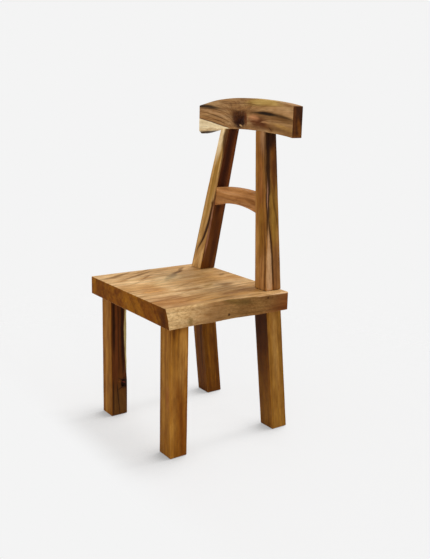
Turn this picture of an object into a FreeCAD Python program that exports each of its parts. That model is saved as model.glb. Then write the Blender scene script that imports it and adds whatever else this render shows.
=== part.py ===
"""Rustic slab-seat chair: four square legs, two leaning back posts, an arched middle rail and an arched top rail.

Millimetres, +Z up. The chair faces -Y, so the sitter's left hand is at +X. The origin is on the floor, under
the middle of the chair's outer box. Every piece is a separate solid, and dowels and tenons hold them together.
"""

import FreeCAD, Part
import os

Vector = FreeCAD.Vector

# Seat slab
seat_height = 450.0
seat_width = 468.0
seat_depth = 416.0
seat_thickness = 56.0
seat_edge_round = 3.0

# Natural edge along the slab's left side: how far the top is worn back from the sawn width
live_edge_inset = 20.0
live_edge_place_shares = (0.0, 0.12, 0.25, 0.38, 0.5, 0.62, 0.75, 1.0)
live_edge_top_shares = (0.95, 0.8, 0.9, 0.55, 0.7, 0.35, 0.05, 0.0)
live_edge_middle_shares = (0.3, 0.15, 0.4, 0.1, 0.35, 0.15, 0.0, 0.0)
live_edge_bottom_shares = (0.0, 0.1, 0.2, 0.05, 0.25, 0.1, 0.0, 0.0)

# Legs
leg_width = 60.0
leg_depth = 57.0
leg_corner_round = 3.0
foot_ease = 2.0
leg_side_inset = 27.0
front_leg_front_inset = 23.0
rear_leg_rear_inset = 3.0
rear_leg_rake = 44.0

# Back posts: wide where they stand on the slab, slimmer and closer together at the head
post_foot_width = 54.0
post_foot_depth = 59.0
post_head_width = 48.0
post_head_depth = 42.0
post_side_inset = 34.0
post_rear_inset = 0.5
post_head_spread = 230.0
post_corner_round = 3.0

# Top rail: arched above and below, level in plan
chair_height = 1008.0
top_rail_length = 470.0
top_rail_thickness = 37.0
top_rail_crown_height = 94.0
top_rail_end_height = 88.0
top_rail_rise = 24.0
top_rail_front_setback = 401.0
top_rail_edge_round = 3.0

# Middle rail: a smaller arch let into both posts, a hand's room below the top rail
hand_gap_height = 180.0
middle_rail_span = 216.0
middle_rail_crown_height = 51.0
middle_rail_end_height = 60.0
middle_rail_rise = 9.0
middle_rail_thickness = 32.0
middle_rail_setback = 3.0
middle_rail_edge_round = 3.0
tenon_thickness = 14.0
tenon_height = 30.0
tenon_length = 20.0

# Dowels
front_dowel_diameter = 12.0
front_dowel_depth = 36.0
front_dowel_spacing = 26.0
rear_dowel_diameter = 14.0
rear_dowel_depth = 40.0
rear_dowel_spacing = 22.0
rail_dowel_diameter = 10.0
rail_dowel_depth = 34.0
rail_dowel_spacing = 19.0
dowel_chamfer = 1.5
dowel_flute_count = 8
dowel_flute_radius = 0.6

# Fits
glue_gap = 0.1
hole_end_gap = 2.0
cut_overrun = 10.0

# Places worked out from the sizes above
seat_underside = seat_height - seat_thickness
ankle_share = foot_ease / seat_underside
overall_depth = seat_depth - rear_leg_rear_inset + rear_leg_rake * (1 - ankle_share)
seat_front_y = -overall_depth / 2
seat_rear_y = seat_front_y + seat_depth
seat_left_x = seat_width / 2

leg_centre_x = seat_left_x - leg_side_inset - leg_width / 2
front_leg_centre_y = seat_front_y + front_leg_front_inset + leg_depth / 2
rear_leg_top_y = seat_rear_y - rear_leg_rear_inset - leg_depth / 2

post_foot_x = seat_left_x - post_side_inset - post_foot_width / 2
post_foot_y = seat_rear_y - post_rear_inset - post_foot_depth / 2
post_head_x = post_head_spread / 2 - post_head_width / 2
top_rail_front_y = seat_front_y + top_rail_front_setback
post_head_y = top_rail_front_y + post_head_depth / 2
top_rail_underside_crown = chair_height - top_rail_crown_height
middle_rail_crown_level = top_rail_underside_crown - hand_gap_height

sides = {"left": 1, "right": -1}


def rounded_rectangle(centre_x, centre_y, level, width, depth, corner_round):
    """A closed level wire: a rectangle whose four corners are quarter circles."""
    inner_x = width / 2 - corner_round
    inner_y = depth / 2 - corner_round
    corner_middle = corner_round * 0.5 ** 0.5
    edges = []
    turns = ((1, 1), (-1, 1), (-1, -1), (1, -1))
    for index, (sign_x, sign_y) in enumerate(turns):
        corner = Vector(centre_x + sign_x * inner_x, centre_y + sign_y * inner_y, level)
        along_x = corner + Vector(sign_x * corner_round, 0, 0)
        along_y = corner + Vector(0, sign_y * corner_round, 0)
        middle = corner + Vector(sign_x * corner_middle, sign_y * corner_middle, 0)
        start, end = (along_x, along_y) if index % 2 == 0 else (along_y, along_x)
        if edges:
            edges.append(Part.LineSegment(edges[-1].EndPoint, start))
        edges.append(Part.Arc(start, middle, end))
    edges.append(Part.LineSegment(edges[-1].EndPoint, edges[0].StartPoint))
    return Part.Wire([edge.toShape() for edge in edges])


def arched_board(length, crown_top, rise, crown_height, end_height, front_y, thickness):
    """A board standing on edge along X, arched above and below, with upright ends."""
    end_x = length / 2
    end_top = crown_top - rise
    end_bottom = end_top - end_height
    top_left = Vector(end_x, front_y, end_top)
    top_right = Vector(-end_x, front_y, end_top)
    bottom_left = Vector(end_x, front_y, end_bottom)
    bottom_right = Vector(-end_x, front_y, end_bottom)
    crown = Vector(0, front_y, crown_top)
    soffit = Vector(0, front_y, crown_top - crown_height)
    outline = Part.Wire([
        Part.Arc(top_right, crown, top_left).toShape(),
        Part.LineSegment(top_left, bottom_left).toShape(),
        Part.Arc(bottom_left, soffit, bottom_right).toShape(),
        Part.LineSegment(bottom_right, top_right).toShape(),
    ])
    return Part.Face(outline).extrude(Vector(0, thickness, 0))


def long_edges(board, end_x):
    """The edges of an arched board that run from end to end."""
    return [edge for edge in board.Edges if edge.BoundBox.XLength > end_x]


def dowel_spots(centre_x, centre_y, spacing, rows):
    """Level places of a joint's dowels: two across the joint, in one or two rows."""
    row_places = (-spacing / 2, spacing / 2) if rows == 2 else (0,)
    return [
        (centre_x + across * spacing / 2, centre_y + row)
        for row in row_places
        for across in (-1, 1)
    ]


def fluted_dowel(spot, bottom, top, diameter):
    """An upright dowel with chamfered ends and glue flutes along its length."""
    foot = Vector(spot[0], spot[1], bottom)
    pin = Part.makeCylinder(diameter / 2, top - bottom, foot)
    rims = [edge for edge in pin.Edges if edge.BoundBox.ZLength < dowel_chamfer]
    pin = pin.makeChamfer(dowel_chamfer, rims)
    axis = Vector(0, 0, 1)
    flute = Part.makeCylinder(dowel_flute_radius, top - bottom, foot + Vector(diameter / 2, 0, 0))
    flutes = []
    for index in range(dowel_flute_count):
        turned = flute.copy()
        turned.rotate(foot, axis, 360 * index / dowel_flute_count)
        flutes.append(turned)
    return pin.cut(flutes)


def dowel_hole(spot, bottom, top, diameter):
    """The drilled hole for a dowel, a glue gap wider and an end gap longer at both ends."""
    foot = Vector(spot[0], spot[1], bottom - hole_end_gap)
    return Part.makeCylinder(diameter / 2 + glue_gap, top - bottom + 2 * hole_end_gap, foot)


def live_edge_cutter():
    """What nature left off the slab's left side: a wavy face, worn back most at the front of the top."""
    far_x = seat_left_x + live_edge_inset + cut_overrun
    levels = (
        (seat_underside, live_edge_bottom_shares),
        (seat_underside + seat_thickness / 2, live_edge_middle_shares),
        (seat_height, live_edge_top_shares),
    )
    rings = []
    for level, inset_shares in levels:
        places = zip(live_edge_place_shares, inset_shares)
        points = [
            Vector(seat_left_x - inset * live_edge_inset, seat_front_y + place * seat_depth, level)
            for place, inset in places
        ]
        points.insert(0, points[0] - Vector(0, cut_overrun, 0))
        points.append(points[-1] + Vector(0, cut_overrun, 0))
        wave = Part.BSplineCurve()
        wave.interpolate(points)
        far_front = Vector(far_x, points[0].y, level)
        far_rear = Vector(far_x, points[-1].y, level)
        rings.append(Part.Wire([
            wave.toShape(),
            Part.LineSegment(points[-1], far_rear).toShape(),
            Part.LineSegment(far_rear, far_front).toShape(),
            Part.LineSegment(far_front, points[0]).toShape(),
        ]))
    return Part.makeLoft(rings, True, False)


def seat_slab():
    """One thick slab with eased edges, sawn on three sides and natural on the left."""
    corner = Vector(-seat_width / 2, seat_front_y, seat_underside)
    slab = Part.makeBox(seat_width, seat_depth, seat_thickness, corner)
    slab = slab.makeFillet(seat_edge_round, slab.Edges)
    return slab.cut(live_edge_cutter())


def leg(foot_x, foot_y, top_x, top_y):
    """A square leg between the floor and the slab's underside, eased round its foot."""
    foot = rounded_rectangle(
        foot_x, foot_y, 0,
        leg_width - 2 * foot_ease, leg_depth - 2 * foot_ease, leg_corner_round - foot_ease,
    )
    ankle = rounded_rectangle(
        foot_x + (top_x - foot_x) * ankle_share, foot_y + (top_y - foot_y) * ankle_share, foot_ease,
        leg_width, leg_depth, leg_corner_round,
    )
    top = rounded_rectangle(top_x, top_y, seat_underside, leg_width, leg_depth, leg_corner_round)
    return Part.makeLoft([foot, ankle, top], True, True)


def back_post(side_sign):
    """A tapering post that leans back and inwards, up to the level of the top rail's soffit."""
    foot = rounded_rectangle(
        side_sign * post_foot_x, post_foot_y, seat_height,
        post_foot_width, post_foot_depth, post_corner_round,
    )
    head = rounded_rectangle(
        side_sign * post_head_x, post_head_y, top_rail_underside_crown,
        post_head_width, post_head_depth, post_corner_round,
    )
    return Part.makeLoft([foot, head], True, True)


def top_rail():
    """The arched board that the sitter leans on, eased on every edge."""
    board = arched_board(
        top_rail_length, chair_height, top_rail_rise,
        top_rail_crown_height, top_rail_end_height, top_rail_front_y, top_rail_thickness,
    )
    return board.makeFillet(top_rail_edge_round, board.Edges)


def top_rail_space():
    """All the room above the top rail's soffit, which trims the heads of the posts to its arch."""
    return arched_board(
        top_rail_length, chair_height + cut_overrun, top_rail_rise,
        top_rail_crown_height + cut_overrun, top_rail_end_height + cut_overrun,
        top_rail_front_y - cut_overrun, top_rail_thickness + 2 * cut_overrun,
    )


def along_post(level, foot_value, head_value):
    """A size or place of the left post at a level, between its values at the foot and at the head."""
    climb_share = (level - seat_height) / (top_rail_underside_crown - seat_height)
    return foot_value + (head_value - foot_value) * climb_share


def post_axis(level, side_sign):
    """The middle of a post at a level."""
    return (
        side_sign * along_post(level, post_foot_x, post_head_x),
        along_post(level, post_foot_y, post_head_y),
    )


middle_rail_middle_level = middle_rail_crown_level - middle_rail_rise - middle_rail_end_height / 2
middle_rail_post_face_y = along_post(
    middle_rail_middle_level, post_foot_y - post_foot_depth / 2, post_head_y - post_head_depth / 2,
)
middle_rail_front_y = middle_rail_post_face_y + middle_rail_setback
middle_rail_reach_x = along_post(
    middle_rail_middle_level, post_foot_x - post_foot_width / 2, post_head_x - post_head_width / 2,
)


def middle_rail_tenon(gap, end_gap):
    """The bar that runs through the middle rail and ends as a tenon in each post, or its mortises with a gap."""
    half_length = middle_rail_reach_x + tenon_length + end_gap
    corner = Vector(
        -half_length,
        middle_rail_front_y + middle_rail_thickness / 2 - tenon_thickness / 2 - gap,
        middle_rail_middle_level - tenon_height / 2 - gap,
    )
    return Part.makeBox(2 * half_length, tenon_thickness + 2 * gap, tenon_height + 2 * gap, corner)


def middle_rail(posts):
    """The small arched rail, its ends scribed to the leaning posts, with a stub tenon at each end."""
    board = arched_board(
        middle_rail_span + 2 * tenon_length, middle_rail_crown_level, middle_rail_rise,
        middle_rail_crown_height, middle_rail_end_height, middle_rail_front_y, middle_rail_thickness,
    )
    board = board.makeFillet(middle_rail_edge_round, long_edges(board, middle_rail_span))
    pieces = board.cut(posts).Solids
    shoulder = max(pieces, key=lambda piece: piece.Volume)
    return shoulder.fuse(middle_rail_tenon(0, 0)).removeSplitter()


def build():
    """Every piece of the chair, by name."""
    pieces = {"seat_slab": seat_slab(), "top_rail": top_rail()}
    for side, sign in sides.items():
        pieces[f"front_{side}_leg"] = leg(
            sign * leg_centre_x, front_leg_centre_y, sign * leg_centre_x, front_leg_centre_y,
        )
        pieces[f"rear_{side}_leg"] = leg(
            sign * leg_centre_x, rear_leg_top_y + rear_leg_rake, sign * leg_centre_x, rear_leg_top_y,
        )
        pieces[f"{side}_back_post"] = back_post(sign).cut(top_rail_space())
    posts = [pieces[f"{side}_back_post"] for side in sides]
    pieces["middle_rail"] = middle_rail(posts)
    mortises = middle_rail_tenon(glue_gap, hole_end_gap)
    for side in sides:
        pieces[f"{side}_back_post"] = pieces[f"{side}_back_post"].cut(mortises)
    for side, sign in sides.items():
        join_with_dowels(
            pieces, f"front_{side}_dowel",
            dowel_spots(sign * leg_centre_x, front_leg_centre_y, front_dowel_spacing, 2),
            seat_underside - front_dowel_depth, seat_underside + front_dowel_depth, front_dowel_diameter,
            ("seat_slab", f"front_{side}_leg"),
        )
        join_with_dowels(
            pieces, f"rear_{side}_dowel",
            dowel_spots(*post_axis(seat_height + rear_dowel_depth / 2, sign), rear_dowel_spacing, 1),
            seat_underside - rear_dowel_depth, seat_height + rear_dowel_depth, rear_dowel_diameter,
            ("seat_slab", f"rear_{side}_leg", f"{side}_back_post"),
        )
        join_with_dowels(
            pieces, f"top_rail_{side}_dowel",
            dowel_spots(
                *post_axis(top_rail_underside_crown - rail_dowel_depth / 2, sign), rail_dowel_spacing, 1,
            ),
            top_rail_underside_crown - rail_dowel_depth, top_rail_underside_crown + rail_dowel_depth,
            rail_dowel_diameter, ("top_rail", f"{side}_back_post"),
        )
    return pieces


def join_with_dowels(pieces, name, spots, bottom, top, diameter, joined):
    """Drills the pieces that a joint holds together, and adds its numbered dowels."""
    holes = [dowel_hole(spot, bottom, top, diameter) for spot in spots]
    for piece in joined:
        pieces[piece] = pieces[piece].cut(holes)
    for number, spot in enumerate(spots, start=1):
        pieces[f"{name}_{number}"] = fluted_dowel(spot, bottom, top, diameter)


os.makedirs("parts", exist_ok=True)
for piece_name, shape in build().items():
    solids = shape.Solids
    print(f"{piece_name}: {len(solids)} solid, valid {shape.isValid()}, {shape.Volume / 1000:.1f} cm3")
    solid = solids[0] if len(solids) == 1 else shape
    solid.exportStep(f"parts/{piece_name}.step")
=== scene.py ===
# %% [markdown]
# # A rustic slab-seat chair
# This lesson dresses a chair whose joinery is already made in CAD. The imported model is the frame: its
# pieces give every size and place. We model the nine timbers that show again, with the softened edges,
# natural edge, knots and cracks that a hand-made chair has, and then grow the wood inside them with shader
# nodes.

# %% Load the imported chair
import math

import bmesh
import bpy
from mathutils import Matrix, Vector, noise


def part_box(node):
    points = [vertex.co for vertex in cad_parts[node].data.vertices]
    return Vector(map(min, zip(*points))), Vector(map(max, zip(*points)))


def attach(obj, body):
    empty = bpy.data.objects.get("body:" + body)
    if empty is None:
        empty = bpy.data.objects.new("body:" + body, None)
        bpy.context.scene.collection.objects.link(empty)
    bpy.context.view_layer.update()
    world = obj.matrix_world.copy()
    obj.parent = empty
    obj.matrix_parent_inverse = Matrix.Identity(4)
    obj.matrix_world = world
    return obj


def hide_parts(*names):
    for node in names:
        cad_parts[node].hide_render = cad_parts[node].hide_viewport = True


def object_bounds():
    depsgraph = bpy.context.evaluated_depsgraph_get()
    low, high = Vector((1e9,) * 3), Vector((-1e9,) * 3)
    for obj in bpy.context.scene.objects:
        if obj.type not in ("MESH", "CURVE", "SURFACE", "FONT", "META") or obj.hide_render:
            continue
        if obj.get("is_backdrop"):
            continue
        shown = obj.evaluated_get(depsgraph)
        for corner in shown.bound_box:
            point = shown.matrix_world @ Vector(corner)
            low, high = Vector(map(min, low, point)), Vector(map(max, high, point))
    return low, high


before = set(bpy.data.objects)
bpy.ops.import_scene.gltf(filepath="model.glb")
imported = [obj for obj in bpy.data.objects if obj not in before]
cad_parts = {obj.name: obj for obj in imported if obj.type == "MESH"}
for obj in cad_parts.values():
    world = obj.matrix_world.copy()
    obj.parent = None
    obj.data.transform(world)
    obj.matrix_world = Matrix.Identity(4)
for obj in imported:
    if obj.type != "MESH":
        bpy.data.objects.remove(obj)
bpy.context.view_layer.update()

# %% [markdown]
# ## The camera
# The photograph looks down a little on the chair's front left corner. We could aim a camera with a Track To
# constraint, but the photograph is also rolled by a degree. So the three directions of the camera are
# worked out from its turn, pitch and roll, and become the columns of its rotation. The lens is the focal
# length in pixels over the long side of the picture, times the sensor.

# %% Stand the camera where the photographer stood
turn, pitch, roll = (math.radians(angle) for angle in (54.33, 13.42, 1.38))
eye = Vector((1.8541, -1.2459, 0.9949))
focal_pixels, picture_height, sensor = 745.47, 559, 36
backwards = Vector((math.sin(turn) * math.cos(pitch), -math.cos(turn) * math.cos(pitch), math.sin(pitch)))
level_right = Vector((math.cos(turn), math.sin(turn), 0))
level_up = backwards.cross(level_right)
right = level_right * math.cos(roll) + level_up * math.sin(roll)
up = level_up * math.cos(roll) - level_right * math.sin(roll)
looking = Matrix((right, up, backwards)).transposed()

bpy.ops.object.camera_add(location=eye, rotation=looking.to_euler())
camera = bpy.context.object
camera.data.sensor_width = sensor
camera.data.lens = focal_pixels * sensor / picture_height
bpy.context.scene.camera = camera
print("camera lens", round(camera.data.lens, 2), "mm")

# %% [markdown]
# ## The suns
# Soft light comes from high behind the chair, with a weak fill from the camera's side. An area lamp could
# give it too, but a sun shines evenly on the whole chair, and its strength is easy to plan: each one is set
# by the share of white that it gives a level floor, and with the sky these shares add up to one. The shadow
# on the floor falls further forward than the high sun would throw it, so a second, lower sun lights the
# floor alone: light linking parts the two once the floor is laid.


# %% Hang the suns
def hang_sun(name, side, height, spread, level_share):
    """A sun that gives a level floor a share of white. Its side is in degrees from the back to the left."""
    side, height = math.radians(side), math.radians(height)
    level = math.cos(height)
    comes_from = Vector((math.sin(side) * level, math.cos(side) * level, math.sin(height)))
    bpy.ops.object.light_add(type="SUN", rotation=comes_from.to_track_quat("Z", "Y").to_euler())
    lamp = bpy.context.object
    lamp.name = name
    lamp.data.angle = math.radians(spread)
    lamp.data.energy = level_share * math.pi / math.sin(height)
    print(name, "has energy", round(lamp.data.energy, 3))
    return lamp


sun_share, fill_share, sky_share = 0.30, 0.06, 0.64
high_sun = hang_sun("high_sun", -3, 68, 12, sun_share)
floor_sun = hang_sun("floor_sun", 0, 46, 15, sun_share)
hang_sun("fill_sun", 122, 15, 40, fill_share)
bpy.context.scene.view_settings.view_transform = "Standard"

# %% [markdown]
# ## Small helpers for node trees
# A node tree is a list of boxes and wires. A few helpers keep the lesson readable: one places a node and
# fills its sockets with a number or a wire, and the others do a sum, a colour mix and a smooth step, which
# are needed most.


# %% Node helpers
def place(tree, kind, settings=None, **sockets):
    """A new node. Socket names use _ for a space, i0 is the first one; a value is a wire or a constant."""
    made = tree.nodes.new(kind)
    for setting, value in (settings or {}).items():
        setattr(made, setting, value)
    for label, value in sockets.items():
        plug = made.inputs[int(label[1:])] if label[1:].isdigit() else made.inputs[label.replace("_", " ")]
        if isinstance(value, bpy.types.NodeSocket):
            tree.links.new(value, plug)
        else:
            plug.default_value = value
    return made


def sum_of(tree, operation, first, second=0.0, third=0.0):
    """One Math node, and its result."""
    return place(tree, "ShaderNodeMath", {"operation": operation}, i0=first, i1=second, i2=third).outputs[0]


def blend(tree, share, below, above, mode="MIX"):
    """One colour laid over another by a share."""
    settings = {"data_type": "RGBA", "blend_type": mode}
    return place(tree, "ShaderNodeMix", settings, i0=share, i6=below, i7=above).outputs[2]


def ramp(tree, value, low, high, start=0.0, end=1.0):
    """A smooth step of a value, from start at low to end at high."""
    settings = {"interpolation_type": "SMOOTHSTEP"}
    return place(
        tree, "ShaderNodeMapRange", settings,
        Value=value, From_Min=low, From_Max=high, To_Min=start, To_Max=end,
    ).outputs[0]


# %% [markdown]
# ## The sky
# The room behind the chair is one pale grey, but it has to light the chair as white. A painted wall with
# lamps of its own could do that; here the sky itself has two faces. A Light Path node tells rays that are
# seen from rays that only carry light: the first meet the grey of the studio, and the others a white that
# is as strong as its share.


# %% Paint the sky
def watched(tree):
    """1 on rays that are seen, straight or in a gloss or a glass, and 0 on those that only carry light."""
    rays = place(tree, "ShaderNodeLightPath").outputs
    in_gloss = sum_of(tree, "MAXIMUM", rays["Is Glossy Ray"], rays["Is Transmission Ray"])
    return sum_of(tree, "MAXIMUM", rays["Is Camera Ray"], in_gloss)


studio_grey = (0.905, 0.905, 0.905, 1)
sky = bpy.data.worlds.new("studio_sky")
bpy.context.scene.world = sky
sky.use_nodes = True
tree = sky.node_tree
tree.nodes.clear()
seen_sky = place(tree, "ShaderNodeBackground", Color=studio_grey).outputs[0]
lighting_sky = place(tree, "ShaderNodeBackground", Color=(1, 1, 1, 1), Strength=sky_share).outputs[0]
sky_choice = place(tree, "ShaderNodeMixShader", i0=watched(tree), i1=lighting_sky, i2=seen_sky).outputs[0]
place(tree, "ShaderNodeOutputWorld", Surface=sky_choice)
print("sky gives a share of", sky_share)

# %% [markdown]
# ## The floor
# The floor is a wide disc that fades out, so that it keeps the chair's shadow but shows no horizon. A
# studio's white floor is lit by more lamps than ours, which thins the shadow. We could hang those lamps,
# but they would light the chair too, so to the camera the floor glows: fully far out in front, least close
# before the chair, and more again under the seat. By the feet the Ambient Occlusion node finds little open
# air, and the floor goes darker there.

# %% Make the floor's finish
fade_from, fade_to = 0.8, 1.9
contact_reach, contact_grey = 0.22, (0.50, 0.50, 0.50, 1)
floor_finish = bpy.data.materials.new("pale_floor")
floor_finish.use_nodes = True
tree = floor_finish.node_tree
tree.nodes.clear()
spot = place(tree, "ShaderNodeTexCoord").outputs["Object"]
reach = place(tree, "ShaderNodeVectorMath", {"operation": "LENGTH"}, i0=spot).outputs["Value"]
towards_sun = place(tree, "ShaderNodeCombineXYZ", X=0.0, Y=0.8, Z=0.6).outputs[0]
openness = place(
    tree, "ShaderNodeAmbientOcclusion", {"samples": 8}, Distance=contact_reach, Normal=towards_sun,
).outputs["AO"]
pale = blend(tree, ramp(tree, openness, 0.35, 0.88), contact_grey, studio_grey)
matt = place(tree, "ShaderNodeBsdfDiffuse", Color=pale).outputs[0]
glow = place(tree, "ShaderNodeEmission", Color=pale).outputs[0]
along_floor = place(tree, "ShaderNodeSeparateXYZ", Vector=spot).outputs["Y"]
far_glow = ramp(tree, along_floor, -0.40, -0.28, 0.38, 0.0)
near_glow = ramp(tree, along_floor, -0.22, -0.06, 0.62, 0.78)
glow_share = sum_of(tree, "MULTIPLY", watched(tree), sum_of(tree, "ADD", far_glow, near_glow))
lit = place(tree, "ShaderNodeMixShader", i0=glow_share, i1=matt, i2=glow).outputs[0]
gone = place(tree, "ShaderNodeBsdfTransparent").outputs[0]
fade = ramp(tree, reach, fade_from, fade_to)
faded = place(tree, "ShaderNodeMixShader", i0=fade, i1=lit, i2=gone).outputs[0]
place(tree, "ShaderNodeOutputMaterial", Surface=faded)
print("floor finish has", len(tree.nodes), "nodes")

# %% Lay the floor
floor_radius, just_under_feet = 3, -0.0004
bpy.ops.object.select_all(action="DESELECT")
bpy.ops.mesh.primitive_circle_add(
    vertices=96, radius=floor_radius, fill_type="NGON", location=(0, 0, just_under_feet),
)
floor = bpy.context.object
floor.name = "pale_floor"
floor.data.materials.append(floor_finish)
floor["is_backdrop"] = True
for lamp, state in ((high_sun, "EXCLUDE"), (floor_sun, "INCLUDE")):
    linked = bpy.data.collections.new(f"{lamp.name}_and_floor")
    linked.objects.link(floor)
    linked.collection_objects[0].light_linking.link_state = state
    lamp.light_linking.receiver_collection = linked
print("floor laid, for floor_sun alone")

# %% [markdown]
# ## Working a block of wood
# Each timber starts as a cube at its real size and place. In edit mode its arrises are bevelled, and it is
# cut into small squares, so that later steps have points to move. Moving many points by a rule could be
# done with proportional editing, but a Displace modifier with a weighted vertex group does the same thing
# exactly: the weight says what share of the push each point gets.


# %% Helpers that start a block and choose its parts
def only(piece):
    """Makes one object the selected and active one."""
    bpy.ops.object.select_all(action="DESELECT")
    piece.select_set(True)
    bpy.context.view_layer.objects.active = piece


def start_block(name, low, high):
    """A cube at its size and place, with that place in its mesh."""
    bpy.ops.object.select_all(action="DESELECT")
    middle, size = (Vector(low) + Vector(high)) / 2, Vector(high) - Vector(low)
    bpy.ops.mesh.primitive_cube_add(size=1, location=middle, scale=size)
    block = bpy.context.object
    block.name = name
    bpy.ops.object.transform_apply(location=True, rotation=True, scale=True)
    return block


def pick(choose, part="verts"):
    """In edit mode: selects the points, edges or faces that a rule chooses, and nothing else."""
    bpy.ops.mesh.select_mode(type={"verts": "VERT", "edges": "EDGE", "faces": "FACE"}[part])
    bpy.ops.mesh.select_all(action="DESELECT")
    mesh = bmesh.from_edit_mesh(bpy.context.object.data)
    for item in getattr(mesh, part):
        if choose(item):
            item.select_set(True)
    mesh.select_flush_mode()
    bmesh.update_edit_mesh(bpy.context.object.data)


# %% Helpers that round and divide a block
longest_corner = 0.01


def runs_along(axis):
    """A rule for edges that run mostly along an axis and aren't part of a rounded corner."""
    def rule(edge):
        run = edge.verts[1].co - edge.verts[0].co
        return run.length > longest_corner and abs(run[axis]) > 0.9 * run.length
    return rule


def round_arrises(radius=0.0025):
    """In edit mode: rounds every edge of the block."""
    bpy.ops.mesh.select_all(action="SELECT")
    bpy.ops.mesh.bevel(offset=radius, offset_type="OFFSET", segments=3, affect="EDGES", clamp_overlap=True)


def cut_into_squares(cuts):
    """In edit mode: divides the block along X, Y and Z."""
    for axis, count in enumerate(cuts):
        pick(runs_along(axis), "edges")
        bpy.ops.mesh.subdivide(number_cuts=count)


# %% Helpers that push the points of a block
plane_depth = 0.0006


def push(piece, label, axis, distance, share_at, texture=None):
    """Moves each point along an axis by its share of a distance, and by a texture if there is one."""
    group = piece.vertex_groups.new(name=label)
    for point in piece.data.vertices:
        share = share_at(point.co)
        if share > 0:
            group.add([point.index], min(share, 1), "REPLACE")
    mover = piece.modifiers.new(label, "DISPLACE")
    mover.direction, mover.strength, mover.mid_level, mover.vertex_group = axis, distance, 0, label
    mover.texture, mover.texture_coords = texture, "LOCAL"
    only(piece)
    bpy.ops.object.modifier_apply(modifier=mover.name)
    piece.vertex_groups.remove(piece.vertex_groups[label])


def clouds(name, size, steps):
    """A cloud texture whose lumps have about a size in metres."""
    texture = bpy.data.textures.new(name, "CLOUDS")
    texture.noise_scale, texture.noise_depth = size, steps
    return texture


def hand_planed(piece, size):
    """Slight hollows of a size all over, always inwards, as a hand plane and sanding leave them."""
    push(piece, "hollows", "NORMAL", -plane_depth, lambda point: 1, clouds(piece.name + "_hollows", size, 1))


# %% [markdown]
# ## The legs
# The front legs are square and upright. The rear legs have the same section but rake backwards to the
# floor. A leg could be lofted, but a bevelled cube is quicker: while it has points only at its two ends,
# moving the lower end rakes it with straight edges. All four have one section and one rule, so one loop
# makes them.

# %% Make the four legs
leg_cuts = (9, 9, 70)
timbers = {}
for row in ("front", "rear"):
    for side in ("left", "right"):
        node = f"{row}_{side}_leg"
        low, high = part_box(node)
        front_low, front_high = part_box(f"front_{side}_leg")
        rake = (high.y - low.y) - (front_high.y - front_low.y)
        leg = start_block(node + "_timber", low, (high.x, high.y - rake, high.z))
        bpy.ops.object.mode_set(mode="EDIT")
        round_arrises()
        half_way = (low.z + high.z) / 2
        pick(lambda point: point.co.z < half_way)
        bpy.ops.transform.translate(value=(0, rake, 0))
        cut_into_squares(leg_cuts)
        bpy.ops.object.mode_set(mode="OBJECT")
        hand_planed(leg, 0.07)
        timbers[node] = leg
        print(node, "raked by", round(rake, 4))

# %% [markdown]
# ## A knot hole in one leg
# On the inner side of the front right leg a branch has left a hollow, close to the rear arris, and above it
# the wood is worn away in a shallow wane. A boolean could cut the hole, but it would leave a clean rim.
# Finer faces that are pushed in, more in the middle and unevenly by noise, give the ragged rim of a real
# knot.


# %% Helpers for detail and for the end of a piece
def cut_finer(piece, choose, cuts=1):
    """Divides the faces that a rule chooses, for detail that needs more points."""
    only(piece)
    bpy.ops.object.mode_set(mode="EDIT")
    pick(choose, "faces")
    bpy.ops.mesh.subdivide(number_cuts=cuts)
    bpy.ops.object.mode_set(mode="OBJECT")


def ease(value, low, high):
    """A smooth step from 0 at low to 1 at high."""
    share = min(max((value - low) / (high - low), 0), 1)
    return share * share * (3 - 2 * share)


def finish_block(piece, node):
    """Smooths the shading, puts the piece on the root body, and hides its CAD part."""
    only(piece)
    bpy.ops.object.shade_smooth_by_angle(angle=math.radians(40))
    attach(piece, "root")
    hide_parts(node)
    print(piece.name, len(piece.data.polygons), "faces")


# %% Hollow the knot and finish the legs
leg = timbers["front_right_leg"]
leg_knot = (-0.147, -0.1610, 0.1065)
leg_knot_depth, wane_depth, wane_width = 0.008, 0.005, 0.012
inner_x, rear_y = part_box("front_right_leg")[1].x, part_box("front_right_leg")[1].y
cut_finer(leg, lambda face: face.normal.x > 0.5 and face.calc_center_median().z < 0.2, 2)


def knot_hollow(point):
    """How deep the knot is at a point: all of it in the middle, unevenly nothing at the rim."""
    across, up = (point.y - leg_knot[1]) / 0.011, (point.z - leg_knot[2]) / 0.015
    away = math.hypot(across, up) + 0.5 * noise.noise(point * 130)
    return (1 - ease(away, 0.25, 1.05)) * ease(point.x, inner_x - 0.004, inner_x)


def wane(point):
    """How much of the rear arris is worn away: nothing at its ends."""
    worn = ease(point.z, 0.10, 0.16) * (1 - ease(point.z, 0.33, 0.38))
    worn *= ease(point.y, rear_y - wane_width, rear_y)
    worn *= ease(point.x, inner_x - wane_width, inner_x)
    return worn * (0.7 + 0.3 * noise.noise(point * 45))


push(leg, "knot", "X", -leg_knot_depth, knot_hollow)
push(leg, "wane", "X", -wane_depth, wane)
for node, leg in timbers.items():
    finish_block(leg, node)

# %% [markdown]
# ## The back posts
# The posts taper and lean, back and towards each other. A Simple Deform modifier could taper them, but by
# the same share in width and depth, and these differ. So they are made like the raked legs: the upper end
# of a bevelled cube is made smaller and moved over. The head stops just inside the top rail, whose soffit
# is curved. The right post has a wane, where the round of the tree took its outer front arris away towards
# the head.

# %% Make the two back posts
foot_width, foot_depth = 0.054, 0.059
head_width, head_depth = 0.048, 0.042
head_overlap = 0.0005
post_cuts = (8, 8, 80)
outer_slope, front_slope = 0.1832, 0.0959
post_wane_depth, post_wane_reach = 0.006, 0.036


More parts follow.
